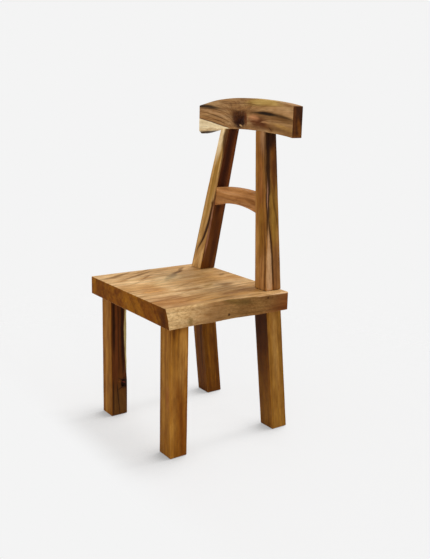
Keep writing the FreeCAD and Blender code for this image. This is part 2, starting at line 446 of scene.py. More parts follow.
def post_wane(point):
    """How much of the right post's outer front arris is gone: nothing below or 36 mm in from it."""
    outwards = max(0, 1 - (point.x - outer - (point.z - low.z) * outer_slope) / post_wane_reach)
    forwards = max(0, 1 - (point.y - low.y - (point.z - low.z) * front_slope) / post_wane_reach)
    return ease(point.z, 0.67, 0.95) * outwards * forwards


for side, sign in (("left", 1), ("right", -1)):
    node = f"{side}_back_post"
    low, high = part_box(node)
    outer = high.x if sign > 0 else low.x
    inner = outer - sign * foot_width
    foot_low = (min(inner, outer), low.y, low.z)
    foot_high = (max(inner, outer), low.y + foot_depth, high.z)
    post = start_block(node + "_timber", foot_low, foot_high)
    head_x = (low.x if sign > 0 else high.x) + sign * head_width / 2
    head_y = high.y - head_depth / 2
    foot_x, foot_y = (inner + outer) / 2, low.y + foot_depth / 2
    bpy.ops.object.mode_set(mode="EDIT")
    round_arrises()
    half_way = (low.z + high.z) / 2
    pick(lambda point: point.co.z > half_way)
    bpy.ops.transform.resize(
        value=(head_width / foot_width, head_depth / foot_depth, 1), center_override=(foot_x, foot_y, high.z),
    )
    bpy.ops.transform.translate(value=(head_x - foot_x, head_y - foot_y, head_overlap))
    cut_into_squares(post_cuts)
    bpy.ops.object.mode_set(mode="OBJECT")
    if side == "right":
        push(post, "wane", "X", post_wane_depth, post_wane)
    hand_planed(post, 0.06)
    finish_block(post, node)
    timbers[node] = post

# %% [markdown]
# ## The arched rails
# Both rails are boards on edge, arched above and below. A Curve modifier could bend a straight board, but
# it would also turn its ends. Raising the points by the height of an arc keeps the ends upright, as they
# are on the chair, and lets the upper and lower arcs differ.


# %% Helper for an arched board
def arched_board(name, low, high, ends, crown, radius, cuts):
    """A bevelled board that rises to two arcs. Ends and crown are the levels of its lower and upper side."""
    ends_bottom, ends_top = ends
    board = start_block(name, (low.x, low.y, ends_bottom), (high.x, high.y, ends_top))
    bpy.ops.object.mode_set(mode="EDIT")
    round_arrises(radius)
    cut_into_squares(cuts)
    bpy.ops.object.mode_set(mode="OBJECT")
    half = (high.x - low.x) / 2
    rises = (crown[0] - ends_bottom, crown[1] - ends_top)
    most = max(rises)

    def rise_share(point):
        across = min(abs(point.x) / half, 1)
        up_share = (point.z - ends_bottom) / (ends_top - ends_bottom)
        arcs = []
        for rise in rises:
            arc_radius = (half * half + rise * rise) / (2 * rise)
            arcs.append(math.sqrt(arc_radius ** 2 - (across * half) ** 2) - arc_radius + rise)
        return (arcs[0] + (arcs[1] - arcs[0]) * up_share) / most

    push(board, "arch", "Z", most, rise_share)
    return board


# %% [markdown]
# ## The top rail
# The top rail is a thick board that lies on the heads of both posts and that a hand takes hold of. Its
# upper side rises by 24 mm to the middle, and its soffit by its own arc. Its outline could be drawn as a
# curve and extruded, but that leaves one large face with no points to push. The helper makes it from the
# levels at its ends and crown.

# %% Make the top rail
rail_low, rail_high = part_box("top_rail")
rail_rise, rail_depth = 0.024, 0.094
rail_crown = (rail_high.z - rail_depth, rail_high.z)
top_rail = arched_board(
    "top_rail_timber", rail_low, rail_high, (rail_low.z, rail_high.z - rail_rise), rail_crown,
    0.0025, (130, 10, 26),
)
hand_planed(top_rail, 0.08)
timbers["top_rail"] = top_rail
print("top rail rises by", rail_rise)

# %% [markdown]
# ## The big knot of the top rail
# Where a branch grew, the front of the top rail has a ragged hollow as wide as three fingers. The lower
# front arris at the far end is a wane: the round of the tree ran out there. Both could be sculpted, but a
# rule gives the same hollow at every run, so they are pushed in like the knot of the leg. A true arc is
# also too even for a board cut by eye, so at last the far end droops a little and the near end is lifted.

# %% Choose and divide the faces by the knot and the wane
rail_knot = (-0.0150, 0.174, 0.9450)


def by_the_knot(face):
    """A rule for the faces of the rail's front that lie around the knot."""
    middle = face.calc_center_median()
    return face.normal.y < -0.7 and math.hypot(middle.x - rail_knot[0], middle.z - rail_knot[2]) < 0.05


def soffit_at(x):
    """The level of the rail's lower side, which is arched."""
    return rail_low.z + (rail_high.z - rail_depth - rail_low.z) * (1 - (x / rail_high.x) ** 2)


def by_the_wane(face):
    """A rule for the faces along the lower front arris of the far end."""
    middle = face.calc_center_median()
    return middle.x < -0.09 and middle.z < soffit_at(middle.x) + 0.016 and face.normal.y < -0.3


cut_finer(top_rail, by_the_knot, 2)
cut_finer(top_rail, by_the_wane)
print("top rail now has", len(top_rail.data.polygons), "faces")

# %% Hollow the knot, wear the wane and uneven the arc
front_y = rail_low.y


def rail_hollow(point):
    """How deep the rail's knot is at a point."""
    away = math.hypot((point.x - rail_knot[0]) / 0.034, (point.z - rail_knot[2]) / 0.024)
    rough = 0.55 * noise.noise(point * 70) + 0.35 * noise.noise(point * 190)
    near_front = 1 - ease(point.y, front_y + 0.001, front_y + 0.005)
    return (1 - ease(away + rough, 0.1, 1.05)) * near_front * (0.75 + 0.5 * noise.noise(point * 120))


def rail_wane(point):
    """How far the lower front arris is worn back: nothing under the post."""
    share = (1 - ease(point.x, -0.17, -0.11)) * (1 - ease(point.y, front_y + 0.004, front_y + 0.012))
    height = 0.009 + 0.004 * noise.noise(point * 60)
    return share * min(max(1 - (point.z - soffit_at(point.x)) / height, 0), 1)


def far_end(point):
    """How much of the droop a point gets: most low down at the far end."""
    return ease(-point.x, 0.13, 0.22) * max(0.35, 1 - (point.z - rail_low.z) / 0.09)


def near_end(point):
    """How much of the lift a point gets: most high up at the near end."""
    return ease(point.x, 0.08, 0.235) * min(1, 0.5 + (point.z - rail_low.z) / 0.17)


push(top_rail, "knot", "Y", 0.0055, rail_hollow)
push(top_rail, "wane", "Y", 0.010, rail_wane)
push(top_rail, "droop", "Z", -0.007, far_end)
push(top_rail, "lift", "Z", 0.004, near_end)
finish_block(top_rail, "top_rail")

# %% [markdown]
# ## The middle rail
# The middle rail is a smaller arched board that steadies the posts and stops the sitter's back. Its ends
# follow the inner faces of the posts, which lean. They could be cut with bisect, but a push that grows
# downwards slants them without new edges, and lets them run a little way into the posts, so that no gap
# shows.

# %% Make the middle rail
low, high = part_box("middle_rail")
mid_half, mid_depth, mid_rise, crown_depth = 0.118, 0.060, 0.009, 0.051
crown = high.z
middle_rail = arched_board(
    "middle_rail_timber", Vector((-mid_half, low.y, 0)), Vector((mid_half, high.y, 0)),
    (crown - mid_rise - mid_depth, crown - mid_rise), (crown - crown_depth, crown), 0.003, (70, 9, 16),
)
post_foot_x, post_head_x, post_foot_z, post_head_z = 0.146, 0.067, 0.450, 0.914
lean = (post_foot_x - post_head_x) / (post_head_z - post_foot_z)
into_post, inner_face_x, inner_face_z = 0.0035, 0.109, crown - 0.064
longest_push = 0.02


def slant(point):
    """How much further an end reaches at a point's level, as a share of the longest push."""
    return max(0.0, (into_post + inner_face_x + (inner_face_z - point.z) * lean - mid_half) / longest_push)


for label, sign in (("lean_left", 1), ("lean_right", -1)):
    push(
        middle_rail, label, "X", sign * longest_push,
        lambda point: slant(point) * ease(sign * point.x, 0.1, mid_half),
    )
hand_planed(middle_rail, 0.06)
finish_block(middle_rail, "middle_rail")
timbers["middle_rail"] = middle_rail

# %% [markdown]
# ## The slab seat
# The seat is one thick slab, sawn on three sides. Its left side keeps the tree's own edge: it slopes back
# at the top, waves along its length, and turns into a sawn side towards the rear. That edge could be
# sculpted, but we push the points of that side in by given shares at stations along the edge, so that
# each wave stays where it is put.

# %% Make the seat slab
slab_low, slab_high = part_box("seat_slab")
slab = start_block("seat_slab_timber", slab_low, slab_high)
bpy.ops.object.mode_set(mode="EDIT")
round_arrises()
cut_into_squares((90, 80, 14))
bpy.ops.object.mode_set(mode="OBJECT")

edge_inset, edge_reach = 0.020, 0.07
stations = (0.0, 0.12, 0.25, 0.38, 0.5, 0.62, 0.75, 1.0)
insets = {
    "top": (0.95, 0.8, 0.9, 0.55, 0.7, 0.35, 0.05, 0.0),
    "middle": (0.3, 0.15, 0.4, 0.1, 0.35, 0.15, 0.0, 0.0),
    "bottom": (0.0, 0.1, 0.2, 0.05, 0.25, 0.1, 0.0, 0.0),
}


def along_edge(name, share):
    """The inset at a place along the natural edge, eased between its stations."""
    for index in range(len(stations) - 1):
        if share <= stations[index + 1]:
            step = ease(share, stations[index], stations[index + 1])
            return insets[name][index] * (1 - step) + insets[name][index + 1] * step
    return insets[name][-1]


def natural_edge(point):
    """How much of the full inset a point gets: nothing 70 mm in from the edge, all of it at the edge."""
    reach = min(max((point.x - (slab_high.x - edge_reach)) / edge_reach, 0), 1)
    share = (point.y - slab_low.y) / (slab_high.y - slab_low.y)
    height = (point.z - slab_low.z) / (slab_high.z - slab_low.z)
    bottom, middle, top = (along_edge(name, share) for name in ("bottom", "middle", "top"))
    if height < 0.5:
        inset = bottom + (middle - bottom) * height * 2
    else:
        inset = middle + (top - middle) * (height * 2 - 1)
    return max(inset, 0) * reach


push(slab, "natural_edge", "X", -edge_inset, natural_edge)
hand_planed(slab, 0.12)
print("slab has", len(slab.data.polygons), "faces before its edge is knobbled")

# %% [markdown]
# ## The skin of the natural edge
# Under the bark a tree is knobbly: broad swellings with small pits on them. A bump map would keep the
# outline straight, so the mesh itself moves. The faces of that side are cut finer first, and two cloud
# textures push them in, one with lumps of 30 mm and one of 8 mm. Both fade out where the saw took the skin
# away.

# %% Knobble the natural edge
cut_finer(slab, lambda face: face.normal.x > 0.3 and face.calc_center_median().x > slab_high.x - 0.04)


def barked(point):
    """Where the tree's own surface is: the left side, fading out where the saw took it."""
    return ease(point.x, slab_high.x - 0.045, slab_high.x - 0.02) * (1 - ease(point.y, 0.01, 0.07))


push(slab, "swellings", "X", -0.0036, barked, clouds("swellings", 0.030, 2))
push(slab, "pits", "X", -0.0014, barked, clouds("pits", 0.008, 2))
finish_block(slab, "seat_slab")
timbers["seat_slab"] = slab

# %% [markdown]
# ## Growing the wood
# Wood is not painted on: its pattern goes right through. An image of boards could be wrapped round each
# timber, but its ends and arrises would give it away. So the colour is worked out in space, by shader node
# groups that every timber's material shares. First come the helpers: one for a group with named sockets,
# one for vector sums, and two for noise.


# %% Helpers for shader groups
def srgb(red, green, blue):
    """A colour as a picture editor shows it, from 0 to 255, as the linear colour that Blender works with."""
    shares = [level / 255 for level in (red, green, blue)]
    linear = [share / 12.92 if share <= 0.04 else ((share + 0.055) / 1.055) ** 2.4 for share in shares]
    return (*linear, 1)


def new_group(name, inputs, outputs):
    """A shader node group with named sockets, and its input and output sockets."""
    group = bpy.data.node_groups.new(name, "ShaderNodeTree")
    for label, kind, value in inputs:
        socket = group.interface.new_socket(label, in_out="INPUT", socket_type="NodeSocket" + kind)
        if value is not None:
            socket.default_value = value
    for label, kind in outputs:
        group.interface.new_socket(label, in_out="OUTPUT", socket_type="NodeSocket" + kind)
    return group, group.nodes.new("NodeGroupInput").outputs, group.nodes.new("NodeGroupOutput").inputs


def vector_sum(tree, operation, first, second=(0, 0, 0), out="Vector", **more):
    """One Vector Math node, and its result: a vector, or the Value of a length or a dot product."""
    settings = {"operation": operation}
    return place(tree, "ShaderNodeVectorMath", settings, i0=first, i1=second, **more).outputs[out]


def cloud(tree, vector, waves, detail=2.0, roughness=0.5, out="Fac"):
    """Noise in space, with about so many waves in a metre along each axis."""
    stretched = vector_sum(tree, "MULTIPLY", vector, waves)
    return place(
        tree, "ShaderNodeTexNoise", Vector=stretched, Scale=1.0, Detail=detail, Roughness=roughness,
    ).outputs[out]


def bands(tree, distance, scale, shift, detail=2.0, roughness=0.55):
    """Noise along one distance only, which gives uneven growth rings."""
    moved = sum_of(tree, "ADD", distance, shift)
    settings = {"noise_dimensions": "1D"}
    return place(
        tree, "ShaderNodeTexNoise", settings, W=moved, Scale=scale, Detail=detail, Roughness=roughness,
    ).outputs["Fac"]


# %% [markdown]
# ## The growth rings
# A tree adds a ring each year about its axis. Object coordinates are turned so that this axis is Z, the
# distance from it gives the rings, and slow noise makes the trunk crooked. A Wave Texture has rings too,
# but all alike: noise along the distance makes them uneven. Every face, end grain too, then shows the right
# cut through the same tree. Some patches blush, and dark veins come and go along the rings.

# %% Bend the trunk and measure its rings
rings, given, result = new_group(
    "growth_rings",
    [
        ("Trunk", "Vector", None), ("Light", "Color", srgb(190, 135, 70)),
        ("Deep", "Color", srgb(120, 75, 35)), ("Dark", "Color", srgb(45, 25, 12)),
        ("Blush", "Color", srgb(150, 88, 44)), ("Blush Share", "Float", 0.3),
        ("Ring", "Float", 0.012), ("Crook", "Float", 0.02), ("Figure", "Float", 0.5), ("Veins", "Float", 0.5),
        ("Warp", "Float", 0.0), ("Shift", "Float", 0.0),
    ],
    [("Color", "Color"), ("Tone", "Float")],
)
middle_grey = (0.5, 0.5, 0.5)
moved = vector_sum(
    rings, "ADD", given["Trunk"], vector_sum(rings, "SCALE", (0.31, 0.17, 0.53), Scale=given["Shift"]),
)
crooked = given["Trunk"]
for waves, share in (((7, 7, 1.6), 3.0), ((32, 32, 7), 0.7)):
    bend = vector_sum(rings, "SUBTRACT", cloud(rings, moved, waves, out="Color"), middle_grey)
    bend = vector_sum(rings, "SCALE", bend, Scale=sum_of(rings, "MULTIPLY", given["Crook"], share))
    crooked = vector_sum(rings, "ADD", crooked, bend)
from_axis = vector_sum(rings, "LENGTH", vector_sum(rings, "MULTIPLY", crooked, (1, 1, 0)), out="Value")
from_axis = sum_of(rings, "ADD", from_axis, given["Warp"])
per_ring = sum_of(rings, "DIVIDE", 1.0, given["Ring"])
broad = bands(rings, from_axis, sum_of(rings, "MULTIPLY", per_ring, 0.45), given["Shift"], 2.5, 0.6)
line_shift = sum_of(rings, "ADD", given["Shift"], 3.7)
lines = bands(rings, from_axis, sum_of(rings, "MULTIPLY", per_ring, 0.8), line_shift, 1.5, 0.5)
print("the trunk is bent by", len(rings.nodes), "nodes so far")

# %% Colour the rings
streaky = cloud(rings, vector_sum(rings, "ADD", crooked, moved), (34, 34, 1.5), 4, 0.62)
patch = cloud(rings, moved, (11, 11, 2.2), 1)
tone = sum_of(rings, "MULTIPLY_ADD", broad, given["Figure"], sum_of(rings, "MULTIPLY", patch, 0.25))
tone = sum_of(rings, "MULTIPLY_ADD", streaky, sum_of(rings, "SUBTRACT", 0.75, given["Figure"]), tone)
tone = ramp(rings, tone, 0.37, 0.63)
ring_color = blend(rings, tone, given["Light"], given["Deep"])
flush = cloud(rings, vector_sum(rings, "ADD", crooked, given["Shift"]), (16, 16, 2.2))
flush = sum_of(rings, "MULTIPLY", ramp(rings, flush, 0.42, 0.66), given["Blush Share"])
ring_color = blend(rings, flush, ring_color, given["Blush"])
come_and_go = ramp(rings, cloud(rings, moved, (14, 14, 3.2), 1), 0.42, 0.62)
vein = ramp(rings, sum_of(rings, "ABSOLUTE", sum_of(rings, "SUBTRACT", lines, 0.52)), 0.045, 0.004)
vein = sum_of(rings, "MULTIPLY", sum_of(rings, "MULTIPLY", vein, come_and_go), given["Veins"])
ring_color = blend(rings, vein, ring_color, given["Dark"])
rings.links.new(ring_color, result["Color"])
rings.links.new(tone, result["Tone"])
print("growth_rings has", len(rings.nodes), "nodes")

# %% [markdown]
# ## Streaks and sapwood
# This chair is known by its markings: dark heartwood streaks and pale wedges of sapwood. They could be
# painted by hand on the mesh, but a wandering band is sharper and can be moved later. It is a soft slab in
# space, placed by its middle, the direction across it and the direction along it. It shows on every face
# that it passes through, as a real streak does. Noise makes it wander, a bow bends it, and a taper thins
# its ends.

# %% A wandering band
band_group, given, result = new_group(
    "wandering_band",
    [
        ("Place", "Vector", None), ("Middle", "Vector", (0, 0, 0)), ("Across", "Vector", (1, 0, 0)),
        ("Along", "Vector", (0, 0, 1)), ("Half Width", "Float", 0.01), ("Half Length", "Float", 1.0),
        ("Softness", "Float", 0.003), ("End Softness", "Float", 0.03), ("Wander", "Float", 0.004),
        ("Bow", "Float", 0.0), ("Taper", "Float", 0.7),
    ],
    [("Mask", "Float")],
)
away = vector_sum(band_group, "SUBTRACT", given["Place"], given["Middle"])
across = vector_sum(band_group, "DOT_PRODUCT", away, given["Across"], out="Value")
along = vector_sum(band_group, "DOT_PRODUCT", away, given["Along"], out="Value")
wave = sum_of(band_group, "SUBTRACT", cloud(band_group, given["Place"], (13, 13, 13), 3, 0.55), 0.5)
wave = sum_of(band_group, "MULTIPLY", wave, sum_of(band_group, "MULTIPLY", given["Wander"], 3.0))
bowed = sum_of(band_group, "MULTIPLY_ADD", sum_of(band_group, "MULTIPLY", along, along), given["Bow"], across)
off_middle = sum_of(band_group, "ABSOLUTE", sum_of(band_group, "ADD", bowed, wave))
outward = sum_of(band_group, "DIVIDE", along, given["Half Length"])
outward = sum_of(band_group, "MINIMUM", sum_of(band_group, "MULTIPLY", outward, outward), 1.0)
narrowed = sum_of(band_group, "SUBTRACT", 1.0, sum_of(band_group, "MULTIPLY", outward, given["Taper"]))
width = sum_of(band_group, "MULTIPLY", given["Half Width"], narrowed)
inside = sum_of(band_group, "SUBTRACT", width, off_middle)
side_mask = ramp(band_group, sum_of(band_group, "DIVIDE", inside, given["Softness"]), -1.0, 1.0)
inside = sum_of(band_group, "SUBTRACT", given["Half Length"], sum_of(band_group, "ABSOLUTE", along))
end_mask = ramp(band_group, sum_of(band_group, "DIVIDE", inside, given["End Softness"]), -1.0, 1.0)
band_group.links.new(sum_of(band_group, "MULTIPLY", side_mask, end_mask), result["Mask"])
print("wandering_band has", len(band_group.nodes), "nodes")

# %% [markdown]
# ## Knots
# A knot is a branch that the trunk grew round: it has rings about an axis of its own, a dark heart, and a
# halo in which the rings of the trunk are pushed aside. Its mask could be a sphere, but a branch runs on,
# so we measure the distance from its axis, roughened by noise, and the same distance gives the heart, the
# halo and the warp.

# %% A branch knot
knot_group, given, result = new_group(
    "branch_knot",
    [
        ("Place", "Vector", None), ("Middle", "Vector", (0, 0, 0)), ("Branch", "Vector", (0, 1, 0)),
        ("Radius", "Float", 0.012), ("Stretch", "Vector", (1, 1, 1)),
    ],
    [("Core", "Float"), ("Halo", "Float"), ("Rings", "Float"), ("Warp", "Float")],
)
wobble = cloud(knot_group, given["Place"], (45, 45, 45), 3, out="Color")
wobble = vector_sum(knot_group, "SUBTRACT", wobble, middle_grey)
wobble = vector_sum(knot_group, "SCALE", wobble, Scale=sum_of(knot_group, "MULTIPLY", given["Radius"], 1.5))
away = vector_sum(knot_group, "SUBTRACT", given["Place"], given["Middle"])
away = vector_sum(knot_group, "MULTIPLY", vector_sum(knot_group, "ADD", away, wobble), given["Stretch"])
inline = vector_sum(knot_group, "PROJECT", away, given["Branch"])
distance = vector_sum(knot_group, "LENGTH", vector_sum(knot_group, "SUBTRACT", away, inline), out="Value")
share = sum_of(knot_group, "DIVIDE", distance, given["Radius"])
fading = sum_of(knot_group, "MULTIPLY", sum_of(knot_group, "MULTIPLY", share, share), -0.3)
halo = sum_of(knot_group, "POWER", 2.718, fading)
warp = sum_of(knot_group, "MULTIPLY", halo, sum_of(knot_group, "MULTIPLY", given["Radius"], 1.4))
knot_rings = ramp(knot_group, bands(knot_group, distance, 420.0, 0.0, 1), 0.4, 0.6)
knot_group.links.new(ramp(knot_group, share, 1.15, 0.55), result["Core"])
knot_group.links.new(halo, result["Halo"])
knot_group.links.new(knot_rings, result["Rings"])
knot_group.links.new(warp, result["Warp"])
print("branch_knot has", len(knot_group.nodes), "nodes")

# %% [markdown]
# ## Fibres, pores, end grain, and worn and highlit edges
# Close up, oiled hardwood is fine fibres along the grain with short dark pores between them. Both come from
# noise that is stretched along the trunk. End grain drinks more oil and goes dark, which the angle between
# a face and the trunk tells. Arrises are a little paler: partly the wear of hands, partly a painted
# highlight where a rounded arris catches the light. The Bevel node could find them, but it is slow; on a
# square timber it is enough to see where the normal points at no one side of the block.

# %% The oiled surface: what is where
surface, given, result = new_group(
    "oiled_surface",
    [
        ("Color", "Color", srgb(150, 100, 50)), ("Trunk", "Vector", None),
        ("Trunk Axis", "Vector", (0, 0, 1)), ("Tone", "Float", 0.5), ("Wear", "Float", 0.3),
        ("End Tint", "Color", (0.5, 0.42, 0.36, 1)),
    ],
    [("Color", "Color"), ("Roughness", "Float"), ("Height", "Float")],
)
fibre = cloud(surface, given["Trunk"], (330, 330, 7), 3, 0.65)
long_fibre = cloud(surface, given["Trunk"], (120, 120, 2.2), 2, 0.6)
pore = ramp(surface, cloud(surface, given["Trunk"], (1100, 1100, 38), 1, 0.5), 0.6, 0.72)
normal = place(surface, "ShaderNodeNewGeometry").outputs["Normal"]
facing = vector_sum(surface, "DOT_PRODUCT", normal, given["Trunk Axis"], out="Value")
end_grain = ramp(surface, sum_of(surface, "ABSOLUTE", facing), 0.55, 0.9)
sides = place(surface, "ShaderNodeSeparateXYZ", i0=vector_sum(surface, "ABSOLUTE", normal)).outputs
flattest = sum_of(surface, "MAXIMUM", sides[0], sum_of(surface, "MAXIMUM", sides[1], sides[2]))
# Pale arrises: partly wear, partly a painted highlight of the light on a rounded arris.
arris = ramp(surface, sum_of(surface, "SUBTRACT", 1.0, flattest), 0.05, 0.22)
pale_patches = ramp(surface, cloud(surface, given["Trunk"], (90, 90, 25)), 0.35, 0.65)
worn = sum_of(surface, "MULTIPLY", sum_of(surface, "MULTIPLY", arris, pale_patches), given["Wear"])
print("fibres, pores, end grain and wear take", len(surface.nodes), "nodes")

# %% The oiled surface: colour, roughness and height
pore_tint, worn_and_highlit_wood, oil_roughness = (0.35, 0.3, 0.28, 1), srgb(214, 176, 122), 0.5
mottle_depths = (0.6, 0.8, 1.05)
shade = sum_of(surface, "MULTIPLY_ADD", fibre, 0.55, sum_of(surface, "MULTIPLY_ADD", long_fibre, 0.8, 0.325))
mottle = cloud(surface, given["Trunk"], (62, 62, 17), 4, 0.6)
shades = [
    sum_of(surface, "MULTIPLY", shade, sum_of(surface, "MULTIPLY_ADD", mottle, 2 * depth, 1 - depth))
    for depth in mottle_depths
]
shade = place(surface, "ShaderNodeCombineColor", i0=shades[0], i1=shades[1], i2=shades[2]).outputs[0]
coloured = blend(surface, 1.0, given["Color"], shade, "MULTIPLY")
in_pores = blend(surface, 1.0, coloured, pore_tint, "MULTIPLY")
coloured = blend(surface, sum_of(surface, "MULTIPLY", pore, 0.45), coloured, in_pores)
coloured = blend(surface, end_grain, coloured, blend(surface, 1.0, coloured, given["End Tint"], "MULTIPLY"))
# Here the arrises are lightened: worn wood and a painted highlight together.
coloured = blend(surface, worn, coloured, blend(surface, 0.5, coloured, worn_and_highlit_wood))
surface.links.new(coloured, result["Color"])
roughness = oil_roughness
for cause, share in ((fibre, 0.16), (pore, 0.2), (end_grain, 0.12)):
    roughness = sum_of(surface, "MULTIPLY_ADD", cause, share, roughness)
surface.links.new(roughness, result["Roughness"])
pore_depth = sum_of(surface, "MULTIPLY", pore, 0.6)
height = sum_of(surface, "SUBTRACT", sum_of(surface, "MULTIPLY", fibre, 0.5), pore_depth)
height = sum_of(surface, "MULTIPLY_ADD", given["Tone"], -0.25, height)
surface.links.new(height, result["Height"])
print("oiled_surface has", len(surface.nodes), "nodes")

# %% [markdown]
# ## One material for each timber
# Every timber came from another part of the tree. One shared material would give them all the same rings,
# so each has a material of its own: where the trunk's middle lies, which way it runs, its colours, and its
# own bands and knots. One function wires them all in the same way: the rings, then the knots, then the
# bands, and the oiled surface on top.


# %% Lay knots and bands over a colour
def use_group(tree, group, **sockets):
    """Places a node group in a material, fills its sockets as place does, and gives its outputs."""
    return place(tree, "ShaderNodeGroup", {"node_tree": group}, **sockets).outputs


def lay_knot(tree, color, grown, knot):
    """One knot over a colour: its halo, its rings and its heart."""
    halo, core = srgb(*knot["halo"]), srgb(*knot["core"])
    in_halo = sum_of(tree, "MULTIPLY", grown["Halo"], knot["halo_share"])
    in_rings = sum_of(tree, "MULTIPLY", grown["Rings"], sum_of(tree, "MULTIPLY", grown["Halo"], 0.45))
    in_core = sum_of(tree, "MULTIPLY", grown["Core"], knot["core_share"])
    for mask, painted in ((in_halo, halo), (in_rings, core), (in_core, core)):
        color = blend(tree, mask, color, painted)
    return color


def lay_band(tree, color, spot, normal, mark):
    """One band over a colour, on the faces that it belongs to, with flecks if it has a second colour."""
    mask = use_group(tree, band_group, Place=spot, **mark["band"])["Mask"]
    mask = sum_of(tree, "MULTIPLY", mask, mark["share"])
    if mark["facing"]:
        facing = vector_sum(tree, "DOT_PRODUCT", normal, mark["facing"], out="Value")
        mask = sum_of(tree, "MULTIPLY", mask, ramp(tree, facing, 0.45, 0.8))
    painted = srgb(*mark["color"])
    if mark["speckle"]:
        flecks = cloud(tree, spot, (210, 100, 210), 6, 0.7)
        painted = blend(tree, ramp(tree, flecks, 0.33, 0.70), painted, srgb(*mark["speckle"]))
    return blend(tree, mask, color, painted)


# %% The function that makes a timber's material
def timber_finish(name, trunk, turned, axis, light, deep, dark=(45, 25, 12), ring=0.012, crook=0.02,
                  figure=0.45, veins=0.5, shift=0.0, blush=(150, 88, 44), blush_share=0.3, wear=0.3,
                  end_tint=(0.5, 0.42, 0.36, 1), marks=(), knots=()):
    """A material for one timber, from its trunk's place, turn and axis, its colours, bands and knots."""
    finish = bpy.data.materials.new(name)
    finish.use_nodes = True
    tree = finish.node_tree
    tree.nodes.clear()
    spot = place(tree, "ShaderNodeTexCoord").outputs["Object"]
    normal = place(tree, "ShaderNodeNewGeometry").outputs["Normal"]
    trunk_spot = place(
        tree, "ShaderNodeMapping", {"vector_type": "TEXTURE"},
        Vector=spot, Location=trunk, Rotation=[math.radians(angle) for angle in turned],
    ).outputs[0]
    grown_knots = [use_group(tree, knot_group, Place=spot, **knot["knot"]) for knot in knots]
    warp = 0.0
    for grown in grown_knots:
        warp = sum_of(tree, "ADD", grown["Warp"], warp)
    grown_rings = use_group(
        tree, rings, Trunk=trunk_spot, Light=srgb(*light), Deep=srgb(*deep), Dark=srgb(*dark),
        Blush=srgb(*blush), Blush_Share=blush_share, Ring=ring, Crook=crook, Figure=figure, Veins=veins,
        Warp=warp, Shift=shift,
    )
    color = grown_rings["Color"]
    for grown, knot in zip(grown_knots, knots):
        color = lay_knot(tree, color, grown, knot)
    for mark in marks:
        color = lay_band(tree, color, spot, normal, mark)
    oiled = use_group(
        tree, surface, Color=color, Trunk=trunk_spot, Trunk_Axis=axis, Tone=grown_rings["Tone"], Wear=wear,
        End_Tint=end_tint,
    )
    bump = place(tree, "ShaderNodeBump", Strength=0.55, Distance=0.0006, Height=oiled["Height"]).outputs[0]
    wood = place(
        tree, "ShaderNodeBsdfPrincipled", Base_Color=oiled["Color"], Roughness=oiled["Roughness"],
        Normal=bump, Specular_IOR_Level=0.06,
    )
    place(tree, "ShaderNodeOutputMaterial", Surface=wood.outputs[0])
    print(name, "has", len(marks), "bands,", len(knots), "knots and", len(tree.nodes), "nodes")
    return finish


# %% [markdown]
# ## A shorthand for marks
# A mark is a band with a colour and the share by which it covers the wood. Each could be written out in
# full, but most marks of one face have their directions in common. So a marker is made for each face, which
# fills those in. A band runs right through the timber: on a square face it needs only the two distances
# that can be seen on that face.


# %% Helpers for marks
def streak(middle, size, color, share, across, along, facing=None, soft=0.6, end=0.45, wander=0.0025, bow=0.0,
           taper=0.7, speckle=None):
    """A mark. Size is its half width and half length; soft and end are the shares of these that fade out."""
    half_width, half_length = size
    band = dict(
        Middle=middle, Across=across, Along=along, Half_Width=half_width, Half_Length=half_length,
        Softness=half_width * soft, End_Softness=half_length * end, Wander=wander, Bow=bow, Taper=taper,
    )
    return dict(band=band, color=color, share=share, facing=facing, speckle=speckle)


def marker(through=None, **usual):
    """A shorthand for one face and what its marks share. Places leave out the axis that bands run through."""
    def mark(spot, size, color, share, **own):
        middle = list(spot)
        if through is not None:
            middle.insert(through, 0.0)
        return streak(middle, size, color, share, **{**usual, **own})
    return mark


X, Y, Z = 0, 1, 2
to_left, to_rear, to_top = (1, 0, 0), (0, 1, 0), (0, 0, 1)
to_right, to_front, to_floor = (-1, 0, 0), (0, -1, 0), (0, 0, -1)
upright, along_x, along_y = (0, 0, 0), (0, 90, 0), (-90, 0, 0)
leg_end_tint = (0.6, 0.5, 0.4, 1)
finishes = {}
print("markers ready")

# %% [markdown]
# ## The front left leg
# This leg is plain honey-brown wood with a broad darker flame on its left side and a few upright lines. The
# grain alone would be too even, so the flame and the lines are laid on as soft bands, each on the face
# where it is seen.

